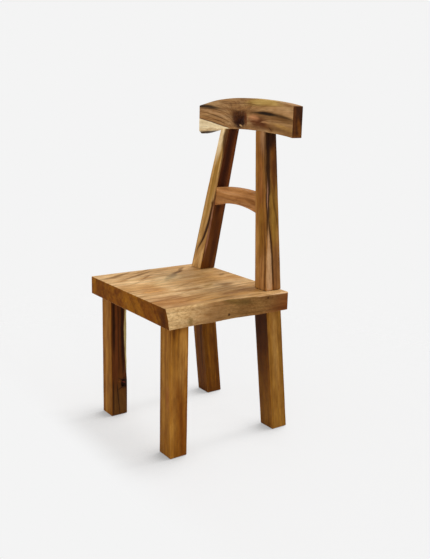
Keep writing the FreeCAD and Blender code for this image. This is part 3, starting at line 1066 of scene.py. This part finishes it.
# %% Finish of the front left leg
left_face = marker(X, across=to_rear, along=to_floor, facing=to_left)
front_face = marker(Y, across=to_left, along=to_floor, facing=to_front)
finishes["front_left_leg"] = timber_finish(
    "front_left_leg_wood", (0.33, -0.02, 0), upright, to_top, (164, 110, 40), (128, 76, 6), dark=(96, 52, 6),
    ring=0.02, figure=0.25, veins=0.3, shift=1.0, blush=(150, 96, 22), end_tint=leg_end_tint,
    marks=[
        left_face((-0.166, 0.09), (0.018, 0.17), (112, 56, 1), 0.8, across=(0, 1, 0.1), soft=1.0, taper=0.5,
                  wander=0.006),
        left_face((-0.150, 0.20), (0.004, 0.4), (116, 64, 8), 0.6, soft=1.0),
        left_face((-0.168, 0.30), (0.013, 0.10), (176, 126, 62), 0.5, soft=1.0, wander=0.005),
        left_face((-0.194, 0.18), (0.008, 0.2), (164, 112, 50), 0.4, soft=1.0),
        left_face((-0.1966, 0.385), (0.004, 0.035), (92, 50, 8), 0.55, soft=0.9),
        left_face((-0.1702, 0.17), (0.0012, 0.1), (98, 54, 8), 0.6),
        # A painted shade across the top of the left side, just under the seat.
        left_face((-0.175, 0.39), (0.012, 0.05), (100, 56, 8), 0.6, across=to_top, along=to_rear, soft=1.0),
        front_face((0.152, 0.2), (0.006, 0.4), (112, 64, 4), 0.6, soft=1.0),
        front_face((0.178, 0.2), (0.0016, 0.2), (104, 58, 6), 0.5),
        front_face((0.190, 0.18), (0.007, 0.04), (158, 92, 44), 0.5, soft=1.0, wander=0.005),
        front_face((0.170, 0.05), (0.012, 0.05), (124, 70, 4), 0.6, soft=1.0, wander=0.005),
        front_face((0.168, 0.2), (0.006, 0.25), (170, 118, 50), 0.5, soft=1.0),
    ],
)

# %% [markdown]
# ## The front right leg
# Only the inner side of this leg is turned to us, and it is dark heartwood with near-black lines and one
# pale strip of sapwood in the wane. One wide band darkens the side and thin ones draw the lines. Round the
# knot hole short lines bend away, as grain does round a branch, and the hole itself is painted last, so
# that nothing covers it.

# %% Finish of the front right leg
inner_face = marker(X, across=to_rear, along=to_floor, facing=to_left)
finishes["front_right_leg"] = timber_finish(
    "front_right_leg_wood", (-0.05, -0.30, 0), upright, to_top, (164, 112, 48), (128, 74, 10),
    dark=(84, 42, 6), ring=0.016, figure=0.3, veins=0.4, shift=5.0, blush=(152, 100, 26), wear=0.05,
    end_tint=leg_end_tint,
    marks=[
        inner_face((-0.177, 0.2), (0.06, 0.9), (84, 42, 12), 0.95, soft=0.05, taper=0),
        inner_face((-0.1880, 0.20), (0.004, 0.18), (92, 46, 18), 0.7, soft=0.9),
        inner_face((-0.1750, 0.10), (0.007, 0.13), (94, 52, 12), 0.7, soft=1.0),
        inner_face((-0.1960, 0.31), (0.0052, 0.12), (34, 12, 1), 0.92, soft=0.8),
        inner_face((-0.1770, 0.03), (0.030, 0.07), (92, 58, 20), 0.75, soft=0.5, end=0.6, taper=0),
        inner_face((-0.1985, 0.06), (0.0022, 0.07), (34, 12, 2), 0.9),
        inner_face((-0.1815, 0.06), (0.0020, 0.06), (38, 14, 2), 0.85, across=(0, 1, 0.08),
                   along=(0, 0.08, -1)),
        inner_face((-0.1800, 0.27), (0.0022, 0.16), (46, 18, 3), 0.8, across=(0, 1, 0.01)),
        inner_face((-0.1650, 0.27), (0.0052, 0.15), (32, 9, 2), 0.93, across=(0, 1, 0.014), soft=0.7),
        inner_face((-0.1532, 0.262), (0.0048, 0.105), (196, 178, 118), 0.92, across=(0, 1, 0.012),
                   facing=None, soft=0.4, end=0.25, taper=0.5),
        inner_face((-0.1690, 0.1200), (0.0016, 0.014), (34, 10, 3), 0.85, across=(0, 0.5, 0.87),
                   along=(0, 0.87, -0.5), soft=0.8),
        inner_face((-0.1710, 0.0930), (0.0016, 0.014), (34, 10, 3), 0.85, across=(0, -0.5, 0.87),
                   along=(0, 0.87, 0.5), soft=0.8),
        inner_face((-0.1720, 0.1130), (0.0020, 0.010), (128, 72, 30), 0.6, across=(0, 0.3, 0.95),
                   along=(0, 0.95, -0.3), soft=0.9),
        inner_face((-0.1590, 0.1060), (0.012, 0.016), (26, 8, 3), 0.93, facing=None, soft=0.4, taper=0.4),
        # A small reddish painted glint on the rim of the knot hole.
        inner_face((-0.1570, 0.1080), (0.0016, 0.005), (132, 52, 40), 0.8, across=(0, 0.5, 0.87),
                   along=(0, 0.87, -0.5), facing=None),
    ],
    knots=[dict(
        knot=dict(Middle=leg_knot, Branch=to_left, Radius=0.011, Stretch=(1, 1, 0.8)),
        halo=(112, 50, 14), halo_share=0.8, core=(16, 4, 1), core_share=0.97,
    )],
)

# %% [markdown]
# ## The rear legs
# The grain of a rear leg runs with its rake, so its trunk is turned by the same angle. The front of the
# left one is darker wood and lies in the shade of the seat. The lamps alone don't make it dark enough, so
# wide bands paint that shade on: partly darker wood, partly painted shade, darkest towards the top under the
# seat and lighter at the foot. Its left side is as light as the front leg's.

# %% Finishes of the rear legs
raked, rake_turn, rake_axis = (0, 0.111, -0.994), (6.4, 0, 0), (0, -0.111, 0.994)
front_face = marker(across=to_left, along=raked, facing=to_front)
left_face = marker(X, across=(0, 0.994, 0.11), along=raked, facing=to_left)
finishes["rear_left_leg"] = timber_finish(
    "rear_left_leg_wood", (0.34, 0.26, 0), rake_turn, rake_axis, (160, 112, 48), (124, 78, 14),
    dark=(98, 56, 8), ring=0.017, figure=0.25, veins=0.3, shift=9.0, blush=(152, 106, 26),
    end_tint=leg_end_tint,
    marks=[
        # Front bands: darker wood and painted shade of the seat, darkest under the seat, lighter at the foot.
        front_face((0.178, 0.106, 0.394), (0.06, 2.0), (96, 50, 4), 0.94, across=(0, 0.994, 0.111), soft=0.12,
                   taper=0),
        front_face((0.166, 0.1444, 0.25), (0.010, 0.4), (70, 34, 2), 0.7, soft=0.9),
        front_face((0.178, 0.1444, 0.36), (0.06, 0.13), (52, 22, 1), 0.75, soft=0.3, end=1.0, taper=0),
        front_face((0.200, 0.1444, 0.10), (0.005, 0.14), (122, 74, 12), 0.6),
        front_face((0.172, 0.1700, 0.03), (0.034, 0.13), (128, 82, 24), 0.75, soft=0.5, end=0.8, taper=0.1),
        left_face((0.165, 0.30), (0.008, 0.16), (172, 128, 68), 0.4, soft=1.0),
        left_face((0.2076, 0.15), (0.010, 0.3), (112, 70, 8), 0.75, soft=0.9),
    ],
)
finishes["rear_right_leg"] = timber_finish(
    "rear_right_leg_wood", (-0.32, 0.26, 0), rake_turn, rake_axis, (120, 72, 10), (86, 42, 2),
    dark=(56, 26, 1), ring=0.017, figure=0.25, veins=0.4, shift=13.0, blush=(112, 64, 6),
    end_tint=leg_end_tint,
    marks=[
        front_face((-0.1593, 0.1503, 0.25), (0.006, 0.18), (60, 28, 2), 0.7, across=(0.997, 0.008, -0.071)),
        left_face((0.1836, 0.11), (0.002, 0.1), (66, 30, 2), 0.7),
        left_face((0.170, 0.20), (0.008, 0.2), (124, 76, 14), 0.6, soft=1.0),
    ],
)

# %% [markdown]
# ## The left back post
# This post shows two faces. On its left side dark heartwood climbs from the front arris to the head, and a
# pale wedge of sapwood stands at the foot; its front is light with thin brown lines. One band could run
# through both faces, but here they differ, so each has its own. The post leans two ways, and each mark is
# placed by all three distances.

# %% Finish of the left back post
left_run, left_out = (0.18, -0.08, -0.98), (0.984, 0, 0.18)
left_face = marker(along=left_run, facing=left_out)
front_face = marker(across=(0.983, 0.017, 0.181), along=left_run, facing=to_front)
finishes["left_back_post"] = timber_finish(
    "left_back_post_wood", (0.30, 0.02, 0.45), (-4.5, -9.7, 0), (-0.174, 0.078, 0.982), (180, 128, 66),
    (136, 82, 24), dark=(82, 46, 10), ring=0.014, figure=0.3, veins=0.5, shift=2.0, blush=(158, 104, 40),
    marks=[
        left_face((0.1600, 0.1800, 0.674), (0.017, 0.12), (138, 100, 36), 0.85, across=(0, 0.997, -0.08),
                  soft=0.7),
        left_face((0.1560, 0.1850, 0.700), (0.0030, 0.08), (84, 52, 12), 0.7, across=(0, 0.99, 0.1),
                  soft=0.9),
        left_face((0.1890, 0.1740, 0.510), (0.014, 0.09), (122, 78, 42), 0.8, across=(0, 0.998, -0.06),
                  soft=0.8),
        left_face((0.1280, 0.1960, 0.820), (0.016, 0.10), (82, 40, 8), 0.9, across=(0, 0.99, -0.1), soft=0.8),
        left_face((0.1220, 0.1960, 0.860), (0.005, 0.035), (112, 64, 12), 0.6, across=(0, 0.99, -0.1),
                  soft=1.0, wander=0.004),
        left_face((0.117, 0.189, 0.908), (0.025, 0.060), (40, 15, 3), 0.93, across=(0, 0.97, -0.22),
                  along=(0.18, -0.22, -0.96), soft=0.5, wander=0.005),
        left_face((0.1414, 0.1680, 0.770), (0.0080, 0.17), (34, 12, 3), 0.94, across=(0, 0.994, -0.108),
                  along=(0.18, -0.107, -0.978), soft=0.5, taper=0.6, wander=0.005),
        left_face((0.1500, 0.1625, 0.728), (0.0022, 0.045), (156, 112, 88), 0.85, across=(0, 0.994, -0.1)),
        left_face((0.1305, 0.2085, 0.85), (0.004, 0.12), (50, 20, 2), 0.75, across=(0.008, 0.999, -0.043),
                  bow=0.11),
        left_face((0.1908, 0.1463, 0.500), (0.0104, 0.14), (192, 147, 103), 0.92, across=(0, 0.997, -0.08),
                  soft=0.3, taper=0.95, wander=0.003),
        left_face((0.1808, 0.1612, 0.555), (0.0040, 0.12), (60, 32, 8), 0.92, across=(0, 1, -0.01),
                  along=(0.18, -0.01, -0.984), bow=0.2),
        front_face((0.1080, 0.1690, 0.890), (0.014, 0.05), (166, 122, 86), 0.7, soft=1.0),
        front_face((0.1275, 0.1655, 0.840), (0.006, 0.11), (84, 50, 24), 0.85, soft=0.8, wander=0.004),
        front_face((0.1503, 0.1491, 0.66), (0.0020, 0.26), (100, 56, 12), 0.45),
        front_face((0.1308, 0.1497, 0.68), (0.0016, 0.22), (108, 62, 16), 0.5, across=(0.986, 0.016, 0.167)),
        front_face((0.1480, 0.1440, 0.62), (0.012, 0.08), (160, 112, 38), 0.6, soft=1.0, wander=0.005),
        front_face((0.1750, 0.1320, 0.49), (0.016, 0.07), (192, 136, 78), 0.75, soft=1.0, wander=0.005),
        front_face((0.1200, 0.1580, 0.77), (0.008, 0.07), (160, 98, 50), 0.5, soft=1.0, wander=0.005),
        front_face((0.1010, 0.1600, 0.800), (0.0022, 0.12), (104, 62, 22), 0.55, soft=0.9, wander=0.004),
        front_face((0.1620, 0.1400, 0.560), (0.0026, 0.11), (104, 60, 14), 0.55, soft=0.9, wander=0.004),
        front_face((0.1800, 0.1380, 0.540), (0.0050, 0.12), (94, 54, 18), 0.8, soft=0.8, wander=0.003),
        front_face((0.1350, 0.1480, 0.560), (0.0080, 0.12), (188, 134, 70), 0.7, soft=1.0, wander=0.004),
    ],
)

# %% [markdown]
# ## The right back post
# The front of this post is the palest wood of the chair, with a long dark crack that bows across it and a
# small knot above. Its inner side is deep brown. The crack could be cut into the mesh, but it is closed and
# dark, so three bands that bow alike make it: a lighter lip on each side and the dark line last.

# %% Finish of the right back post
right_run, right_inner = (-0.174, -0.08, -0.98), (0.984, 0, -0.174)
head_run = (-0.16, -0.08, -0.98)
inner_face = marker(across=(0, 0.996, -0.08), along=right_run, facing=right_inner)
crack = marker(across=(0.948, -0.03, -0.318), along=(-0.318, -0.09, -0.944), facing=to_front, bow=2.0)
front_face = marker(across=(0.985, 0, -0.16), along=right_run, facing=to_front)
finishes["right_back_post"] = timber_finish(
    "right_back_post_wood", (-0.30, 0.02, 0.45), (-4.5, 9.7, 0), (0.174, 0.078, 0.982), (222, 176, 112),
    (176, 126, 60), dark=(112, 70, 26), ring=0.014, figure=0.3, veins=0.4, shift=6.0, blush=(176, 134, 58),
    blush_share=0.45,
    marks=[
        inner_face((-0.1, 0.2, 0.86), (0.5, 0.3), (66, 22, 0), 0.98, across=right_inner, soft=0.01, end=0.3,
                   taper=0, wander=0),
        inner_face((-0.1, 0.2, 0.50), (0.5, 0.17), (92, 46, 5), 0.97, across=right_inner, soft=0.01, end=0.5,
                   taper=0, wander=0),
        inner_face((-0.1, 0.200, 0.80), (0.005, 0.25), (112, 58, 18), 0.6, soft=0.9),
        inner_face((-0.1, 0.180, 0.80), (0.008, 0.22), (42, 12, 1), 0.7, soft=1.0),
        inner_face((-0.124, 0.1446, 0.585), (0.0045, 0.085), (162, 112, 84), 0.85, soft=0.5),
        inner_face((-0.14, 0.172, 0.53), (0.008, 0.12), (56, 22, 3), 0.75, soft=1.0),
        crack((-0.1178, 0.1433, 0.5920), (0.012, 0.12), (158, 108, 50), 0.75, soft=0.4, taper=0.2),
        crack((-0.1345, 0.1433, 0.5980), (0.005, 0.10), (142, 96, 40), 0.7, soft=1.0),
        crack((-0.1292, 0.1433, 0.5960), (0.0056, 0.10), (54, 22, 2), 0.98, soft=0.4, wander=0.002),
        front_face((-0.1090, 0.1500, 0.675), (0.0050, 0.055), (82, 46, 14), 0.88, across=(0.985, 0, -0.17),
                   soft=0.8, end=0.6, wander=0.004),
        front_face((-0.1120, 0.1500, 0.671), (0.0075, 0.013), (76, 40, 10), 0.9, across=(0.25, 0, 0.968),
                   along=(0.968, 0, -0.25), soft=0.7, end=0.6, taper=0.9, wander=0.005),
        front_face((-0.1220, 0.1572, 0.735), (0.010, 0.17), (164, 120, 48), 0.75,
                   across=(0.98, -0.019, -0.196), soft=0.8),
        front_face((-0.104, 0.16, 0.88), (0.013, 0.070), (238, 210, 162), 0.85, across=(0.98, 0, -0.19),
                   soft=0.8),
        front_face((-0.074, 0.17, 0.885), (0.0170, 0.05), (74, 38, 12), 0.9, along=head_run, soft=0.4,
                   wander=0.008),
        front_face((-0.084, 0.17, 0.820), (0.0060, 0.09), (76, 38, 10), 0.85, along=head_run, soft=0.6,
                   wander=0.004),
    ],
)

# %% [markdown]
# ## The middle rail
# The middle rail is light reddish wood whose grain runs along it, so its trunk is turned to lie along X.
# The veins of the trunk could stand for its lines, but they fall where they will, so three faint ones are
# placed. A line on a rail is told by its slope: how far it falls while it runs to the left.


# %% Finish of the middle rail
def rail_line(spot, slope, size, color, share, **own):
    """A mark that runs through a rail from front to back, from its slope: its fall and its run."""
    x, z = spot
    fall, run = slope
    return streak((x, 0.0, z), size, color, share, across=(fall, 0, run), along=(run, 0, -fall), **own)


finishes["middle_rail"] = timber_finish(
    "middle_rail_wood", (0, 0.05, 0.58), along_x, to_left, (190, 132, 78), (152, 96, 38), dark=(104, 60, 22),
    figure=0.35, veins=0.4, shift=3.0, blush=(188, 130, 78),
    marks=[
        rail_line((0.085, 0.70), (0.2, 0.98), (0.007, 0.035), (120, 72, 28), 0.6, facing=to_front),
        rail_line((-0.03, 0.715), (0, 1), (0.004, 0.06), (200, 146, 94), 0.5, facing=to_front),
        rail_line((0.02, 0.69), (0.1, 0.99), (0.0018, 0.08), (124, 76, 32), 0.5, facing=to_front),
    ],
)

# %% [markdown]
# ## The top rail
# The top rail has the liveliest wood: a pale wedge of sapwood at the far end with a dark seam along it,
# lines that follow the arch, a swirl of rust-red curls beside the knot, and dark sawn ends. The curls could
# be drawn one by one, but they differ only in place, length and bow, so a table of rows gives them. The
# knot's own marks come after.

# %% Finish of the top rail
sap_slope, swirl_slope = (0.148, 0.989), (0.08, 0.997)
rust, russet, apricot = (80, 38, 8), (94, 48, 15), (200, 146, 94)
# Each curl: its place, its half length, its bow and its colour.
rail_swirl = (
    (0.060, 0.9460, 0.030, 6.0, rust),
    (0.078, 0.9425, 0.034, 7.0, rust),
    (0.088, 0.9360, 0.026, 9.0, rust),
    (0.096, 0.9300, 0.020, 11.0, rust),
    (0.050, 0.9380, 0.018, -5.0, russet),
    (0.066, 0.9290, 0.020, -7.0, russet),
    (0.040, 0.9520, 0.022, 5.0, apricot),
    (0.112, 0.9400, 0.022, 9.0, apricot),
)
end_face = marker(X, across=to_rear, along=to_floor, facing=to_left)
finishes["top_rail"] = timber_finish(
    "top_rail_wood", (0, 0.06, 0.80), along_x, to_left, (200, 158, 108), (162, 116, 68), dark=(92, 56, 26),
    figure=0.35, veins=0.6, shift=8.0, blush=(166, 120, 68), wear=0.08, end_tint=(1, 1, 1, 1),
    marks=[
        rail_line((0.0972, 0.998), (0.02, 1), (0.012, 0.08), (190, 154, 82), 0.8, bow=1.0),
        rail_line((0.18, 0.972), (0.1, 0.995), (0.010, 0.07), (196, 150, 100), 0.6, bow=0.5),
        rail_line((-0.156, 0.8780), sap_slope, (0.05, 0.105), (252, 227, 180), 0.95, soft=0.03, end=0.12,
                  taper=0, wander=0.003),
        rail_line((-0.15, 0.9282), sap_slope, (0.0016, 0.095), (72, 36, 12), 0.85, wander=0.003, end=0.2),
        rail_line((-0.1395, 0.9502), (0.169, 0.986), (0.0018, 0.09), (92, 56, 24), 0.75, bow=0.49),
        rail_line((-0.1393, 0.9382), (0.166, 0.986), (0.0014, 0.08), (100, 62, 28), 0.7, bow=0.32),
        rail_line((-0.1263, 0.9674), (0.121, 0.993), (0.0016, 0.08), (100, 62, 28), 0.65, bow=0.77),
        rail_line((-0.150, 0.9600), (0.15, 0.989), (0.004, 0.07), (206, 160, 112), 0.6, bow=0.5),
        rail_line((-0.195, 0.9788), (0.05, 0.998), (0.0056, 0.085), (34, 18, 6), 0.92, soft=0.7, end=0.7,
                  bow=0.3),
        rail_line((-0.060, 0.9700), (0.2, 0.98), (0.005, 0.05), (116, 74, 34), 0.45, soft=0.9, bow=0.4),
        rail_line((-0.0023, 0.9924), (0.008, 1), (0.0014, 0.12), (96, 60, 28), 0.65, bow=0.64),
        rail_line((0.0825, 0.9350), swirl_slope, (0.018, 0.048), (84, 32, 1), 0.92, soft=1.0, wander=0.010),
        *(rail_line((x, z), swirl_slope, (0.0017, half_length), color, 0.7, soft=0.9, bow=bow, wander=0.004)
          for x, z, half_length, bow, color in rail_swirl),
        rail_line((0.1300, 0.9220), (0.2, 0.98), (0.008, 0.024), (104, 54, 14), 0.75, soft=0.9, wander=0.006),
        rail_line((0.1900, 0.9180), (0.15, 0.989), (0.020, 0.070), (116, 74, 26), 0.75, soft=1.0,
                  wander=0.006),
        rail_line((0.0560, 0.9500), (0.05, 1), (0.007, 0.026), (214, 146, 96), 0.75, soft=1.0, bow=3.0,
                  wander=0.004),
        rail_line((0.1998, 0.9257), (0.213, 0.977), (0.006, 0.05), (182, 136, 72), 0.6, bow=0.53),
        rail_line((0.2000, 0.9450), (0.15, 0.989), (0.005, 0.04), (112, 72, 28), 0.5, soft=1.0),
        rail_line((0.1417, 0.9590), (0.089, 0.996), (0.008, 0.10), (104, 66, 26), 0.65, soft=1.0, bow=0.66),
        rail_line((0.1417, 0.9622), (0.089, 0.996), (0.0040, 0.11), (66, 42, 16), 0.85, soft=0.8, bow=0.66),
        rail_line((0.1150, 0.9640), (0.06, 0.998), (0.0046, 0.045), (28, 16, 5), 0.93, soft=0.7, bow=0.66),
        rail_line((0.1355, 0.9200), (0.576, 0.817), (0.0016, 0.010), (56, 24, 6), 0.7),
        rail_line((-0.0200, 0.9590), (0, 1), (0.0120, 0.034), (76, 40, 14), 0.88, soft=0.4, taper=0.3,
                  wander=0.009),
        rail_line((-0.0100, 0.9380), (0, 1), (0.0170, 0.024), (38, 10, 2), 0.92, soft=0.6, wander=0.009),
        rail_line((0.0180, 0.9440), (1, 0.1), (0.0050, 0.022), (96, 44, 12), 0.8, soft=0.8, wander=0.005),
        rail_line((-0.0060, 0.9260), (0.3, 0.95), (0.0024, 0.008), (224, 176, 120), 0.85),
        end_face((0.19, 0.94), (0.2, 0.2), (54, 24, 8), 0.97, soft=0.05, taper=0),
        end_face((0.1790, 0.945), (0.005, 0.08), (92, 50, 18), 0.8, across=(0, 1, 0.06), soft=0.9),
        end_face((0.2000, 0.918), (0.007, 0.036), (120, 70, 22), 0.8, across=(0, 1, 0.25),
                 along=(0, 0.25, -0.97), soft=0.9, wander=0.005),
        end_face((0.1880, 0.900), (0.006, 0.030), (104, 60, 18), 0.7, across=to_top, along=to_rear, soft=1.0,
                 wander=0.005),
        end_face((0.19, 0.94), (0.2, 0.2), (80, 44, 18), 0.9, facing=to_right, soft=0.05, taper=0),
        # Painted shade on the wane's downward facet, under the lower front arris.
        rail_line((-0.18, 0.8935), (-0.06, 0.998), (0.0085, 0.06), (44, 22, 8), 0.95, facing=(0, -0.6, -0.8),
                  soft=0.3, end=0.2, taper=0.2),
    ],
    knots=[dict(
        knot=dict(Middle=rail_knot, Branch=(0.1, 1, 0.1), Radius=0.027, Stretch=(0.72, 1, 1)),
        halo=(132, 84, 40), halo_share=0.3, core=(58, 22, 4), core_share=0.92,
    )],
)

# %% [markdown]
# ## The lines of the seat
# The top of the slab shows long brown flames that run forwards and slant most on the right, and its front
# edge shows patches where end grain took up more or less oil. Noise could scatter flames, but on the chair
# each has its place. They are alike in all but place, direction, size and colour, so two tables hold them,
# with a few named wood colours.

# %% Tables of the seat's lines and patches
umber, brown, tan, honey = (106, 66, 24), (128, 88, 38), (150, 102, 48), (166, 118, 52)
sand, pale, cream = (192, 142, 88), (226, 190, 140), (242, 202, 150)
# Each line: its place, the way it runs, its half width and half length, its colour and its share.
seat_lines = (
    (-0.1480, 0.0400, 0.60, -0.80, 0.0080, 0.036, umber, 0.95),
    (-0.1770, 0.0690, 0.66, -0.75, 0.0060, 0.042, brown, 0.8),
    (-0.1030, -0.0120, 0.68, -0.73, 0.0110, 0.060, umber, 0.95),
    (-0.1715, -0.0945, 0.46, -0.89, 0.0070, 0.085, brown, 0.85),
    (-0.1390, -0.1220, 0.46, -0.89, 0.0090, 0.050, pale, 0.6),
    (-0.1990, -0.1520, 0.41, -0.91, 0.0080, 0.065, brown, 0.85),
    (-0.2150, -0.0500, 0.40, -0.92, 0.0050, 0.060, tan, 0.75),
    (-0.1365, -0.0820, 0.60, -0.80, 0.0048, 0.048, tan, 0.75),
    (-0.0900, -0.1400, 0.45, -0.89, 0.0040, 0.070, tan, 0.4),
    (-0.0500, -0.0900, 0.50, -0.86, 0.0045, 0.060, honey, 0.4),
    (-0.2115, 0.0480, 0.30, -0.95, 0.0120, 0.045, sand, 0.7),
    (-0.0640, 0.1055, 0.60, -0.80, 0.0120, 0.030, sand, 0.55),
    (-0.0515, 0.1455, 0.50, -0.86, 0.0075, 0.018, brown, 0.7),
    (0.0660, 0.0830, 0.50, -0.86, 0.0130, 0.034, tan, 0.7),
    (0.0460, 0.0280, 0.40, -0.92, 0.0090, 0.026, honey, 0.7),
    (0.0100, -0.0400, 0.45, -0.89, 0.0050, 0.060, honey, 0.4),
    (0.0700, -0.0500, 0.40, -0.92, 0.0050, 0.080, tan, 0.4),
    (0.1100, 0.0200, 0.25, -0.97, 0.0050, 0.090, tan, 0.4),
    (0.1260, -0.1700, 0.20, -0.98, 0.0045, 0.050, brown, 0.7),
    (0.1610, -0.1120, 0.20, -0.98, 0.0045, 0.050, brown, 0.65),
    (0.1885, -0.0270, 0.05, -1.00, 0.0060, 0.055, brown, 0.75),
    (0.2085, 0.0780, 0.00, -1.00, 0.0060, 0.035, tan, 0.7),
    (0.1500, 0.0400, 0.15, -0.99, 0.0050, 0.060, tan, 0.6),
)
# Each patch: its place, its lean, its half width, its colour and its share.
front_patches = (
    (-0.211, 0.0, 0.010, cream, 0.7),
    (-0.180, 0.2, 0.012, honey, 0.7),
    (-0.150, 0.3, 0.012, honey, 0.6),
    (-0.115, 0.2, 0.010, sand, 0.6),
    (-0.060, 0.6, 0.008, honey, 0.6),
    (0.000, 0.6, 0.022, cream, 0.7),
    (0.030, 1.0, 0.003, tan, 0.35),
    (0.065, 0.8, 0.016, cream, 0.7),
    (0.090, 1.0, 0.004, tan, 0.35),
    (0.130, 0.5, 0.012, sand, 0.5),
    (0.160, 0.6, 0.005, tan, 0.35),
    (0.200, 0.2, 0.022, brown, 0.85),
)
print(len(seat_lines), "lines on the seat and", len(front_patches), "patches on its front edge")

# %% [markdown]
# ## The seat
# The slab's trunk lies along Y, well below the seat, so that its rings meet the top in broad figures. Three
# soft clouds of colour join the lines there. The left side has two skins: deep brown where it is sawn, pale
# and flecked where the bark came off. A second material on chosen faces would end in a hard step, so bands
# that heed which way a face looks paint them, and a last thin band paints a highlight along the sawn part's
# top arris, where the light catches it.

# %% Finish of the seat
flame = marker(Z, wander=0.008, soft=0.7, end=0.6)
top_cloud = marker(Z, facing=to_top, soft=1.0)
front_patch = marker(Y, along=to_floor, facing=to_front, soft=1.0, taper=0, wander=0.012)
sawn_side = marker(X, across=to_rear, along=to_floor, facing=to_left)
bare_skin = marker(X, across=to_rear, along=to_floor, facing=(0.9, 0, 0.3))
skin_across, skin_along = (0, 0.9, -0.44), (0, 0.44, 0.9)
finishes["seat_slab"] = timber_finish(
    "seat_slab_wood", (-0.05, 0, 0.16), along_y, to_rear, (226, 188, 136), (186, 136, 74), dark=(132, 86, 44),
    ring=0.016, crook=0.035, figure=0.33, veins=0.36, shift=4.0, blush=(206, 152, 88), blush_share=0.4,
    wear=0.5, end_tint=(0.36, 0.195, 0.02, 1),
    marks=[
        *(flame((x, y), (half_width, half_length), color, share, across=(-run_y, run_x, 0),
                along=(run_x, run_y, 0))
          for x, y, run_x, run_y, half_width, half_length, color, share in seat_lines),
        top_cloud((0.156, -0.182), (0.06, 0.07), (166, 110, 56), 0.65, across=(1, 0.1, 0), along=to_rear,
                  taper=0.3, wander=0.012),
        top_cloud((-0.075, -0.045), (0.03, 0.09), (226, 194, 140), 0.5, across=(0.8, 0.6, 0),
                  along=(0.6, -0.8, 0), taper=0.5, wander=0.01),
        top_cloud((0.026, -0.152), (0.030, 0.05), (192, 132, 62), 0.7, across=(1, 0.2, 0), along=(-0.2, 1, 0),
                  wander=0.012),
        *(front_patch((x, 0.42), (half_width, 0.3), color, share, across=(1, 0, lean))
          for x, lean, half_width, color, share in front_patches),
        sawn_side((0.2, 0.42), (0.165, 0.5), (117, 58, 15), 0.94, soft=0.06, taper=0, wander=0.012),
        sawn_side((0.145, 0.42), (0.035, 0.3), (94, 50, 14), 0.6, soft=1.0, taper=0, wander=0.014),
        sawn_side((0.113, 0.435), (0.008, 0.018), (74, 32, 8), 0.75, across=(0, 1, 0.3), soft=1.0,
                  wander=0.008),
        sawn_side((0.060, 0.42), (0.012, 0.05), (160, 92, 48), 0.65, across=(0, 1, 0.3), soft=1.0,
                  wander=0.012),
        sawn_side((0.10, 0.425), (0.004, 0.06), (90, 46, 10), 0.5, across=(0, 0.1, 1), along=to_rear,
                  soft=1.0, wander=0.006),
        bare_skin((-0.3, 0.42), (0.33, 0.5), (218, 180, 126), 0.95, soft=0.05, taper=0, wander=0.014,
                  speckle=(174, 134, 84)),
        bare_skin((0.015, 0.40), (0.10, 0.3), (112, 76, 34), 0.94, across=skin_across, along=skin_along,
                  soft=0.5, taper=0, wander=0.016, speckle=(142, 102, 56)),
        bare_skin((-0.092, 0.41), (0.046, 0.3), (146, 104, 60), 0.8, across=skin_across, along=skin_along,
                  soft=1.0, taper=0, wander=0.016),
        bare_skin((-0.157, 0.408), (0.008, 0.010), (118, 90, 40), 0.7, soft=1.0, wander=0.006),
        bare_skin((0.005, 0.442), (0.008, 0.05), (112, 84, 40), 0.75, across=(0, 0.2, 0.98), along=to_rear,
                  wander=0.008),
        bare_skin((-0.0249, 0.4079), (0.004, 0.004), (58, 32, 12), 0.9, wander=0.001),
        sawn_side((0.11, 0.441), (0.003, 0.003), (60, 30, 10), 0.85, wander=0.001),
        # A painted highlight along the top arris of the sawn side, where the light catches it.
        streak((0.234, 0.12, 0.4500), (0.0026, 0.11), (236, 190, 140), 0.85, across=(0.707, 0, 0.707),
               along=to_rear, wander=0.001, soft=0.5, taper=0.2),
    ],
)

# %% [markdown]
# ## Putting the finishes on
# Each timber gets its own finish. The dowels are hidden in the joints and keep their CAD meshes. They could
# share a leg's finish, but a dowel is made from a straight-grained stick, so one plain finish of fine grain
# does for them all.

# %% Put the finishes on
for node, finish in finishes.items():
    timbers[node].data.materials.append(finish)

dowel_finish = timber_finish(
    "dowel_wood", (0.01, 0.02, 0), upright, to_top, (214, 178, 128), (190, 148, 98), ring=0.003, crook=0.004,
    veins=0.0,
)
for node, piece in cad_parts.items():
    if node not in timbers:
        piece.data.materials.clear()
        piece.data.materials.append(dowel_finish)
print(len(finishes) + 1, "finishes")

# %% Measure the bounds of the finished chair
low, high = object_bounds()
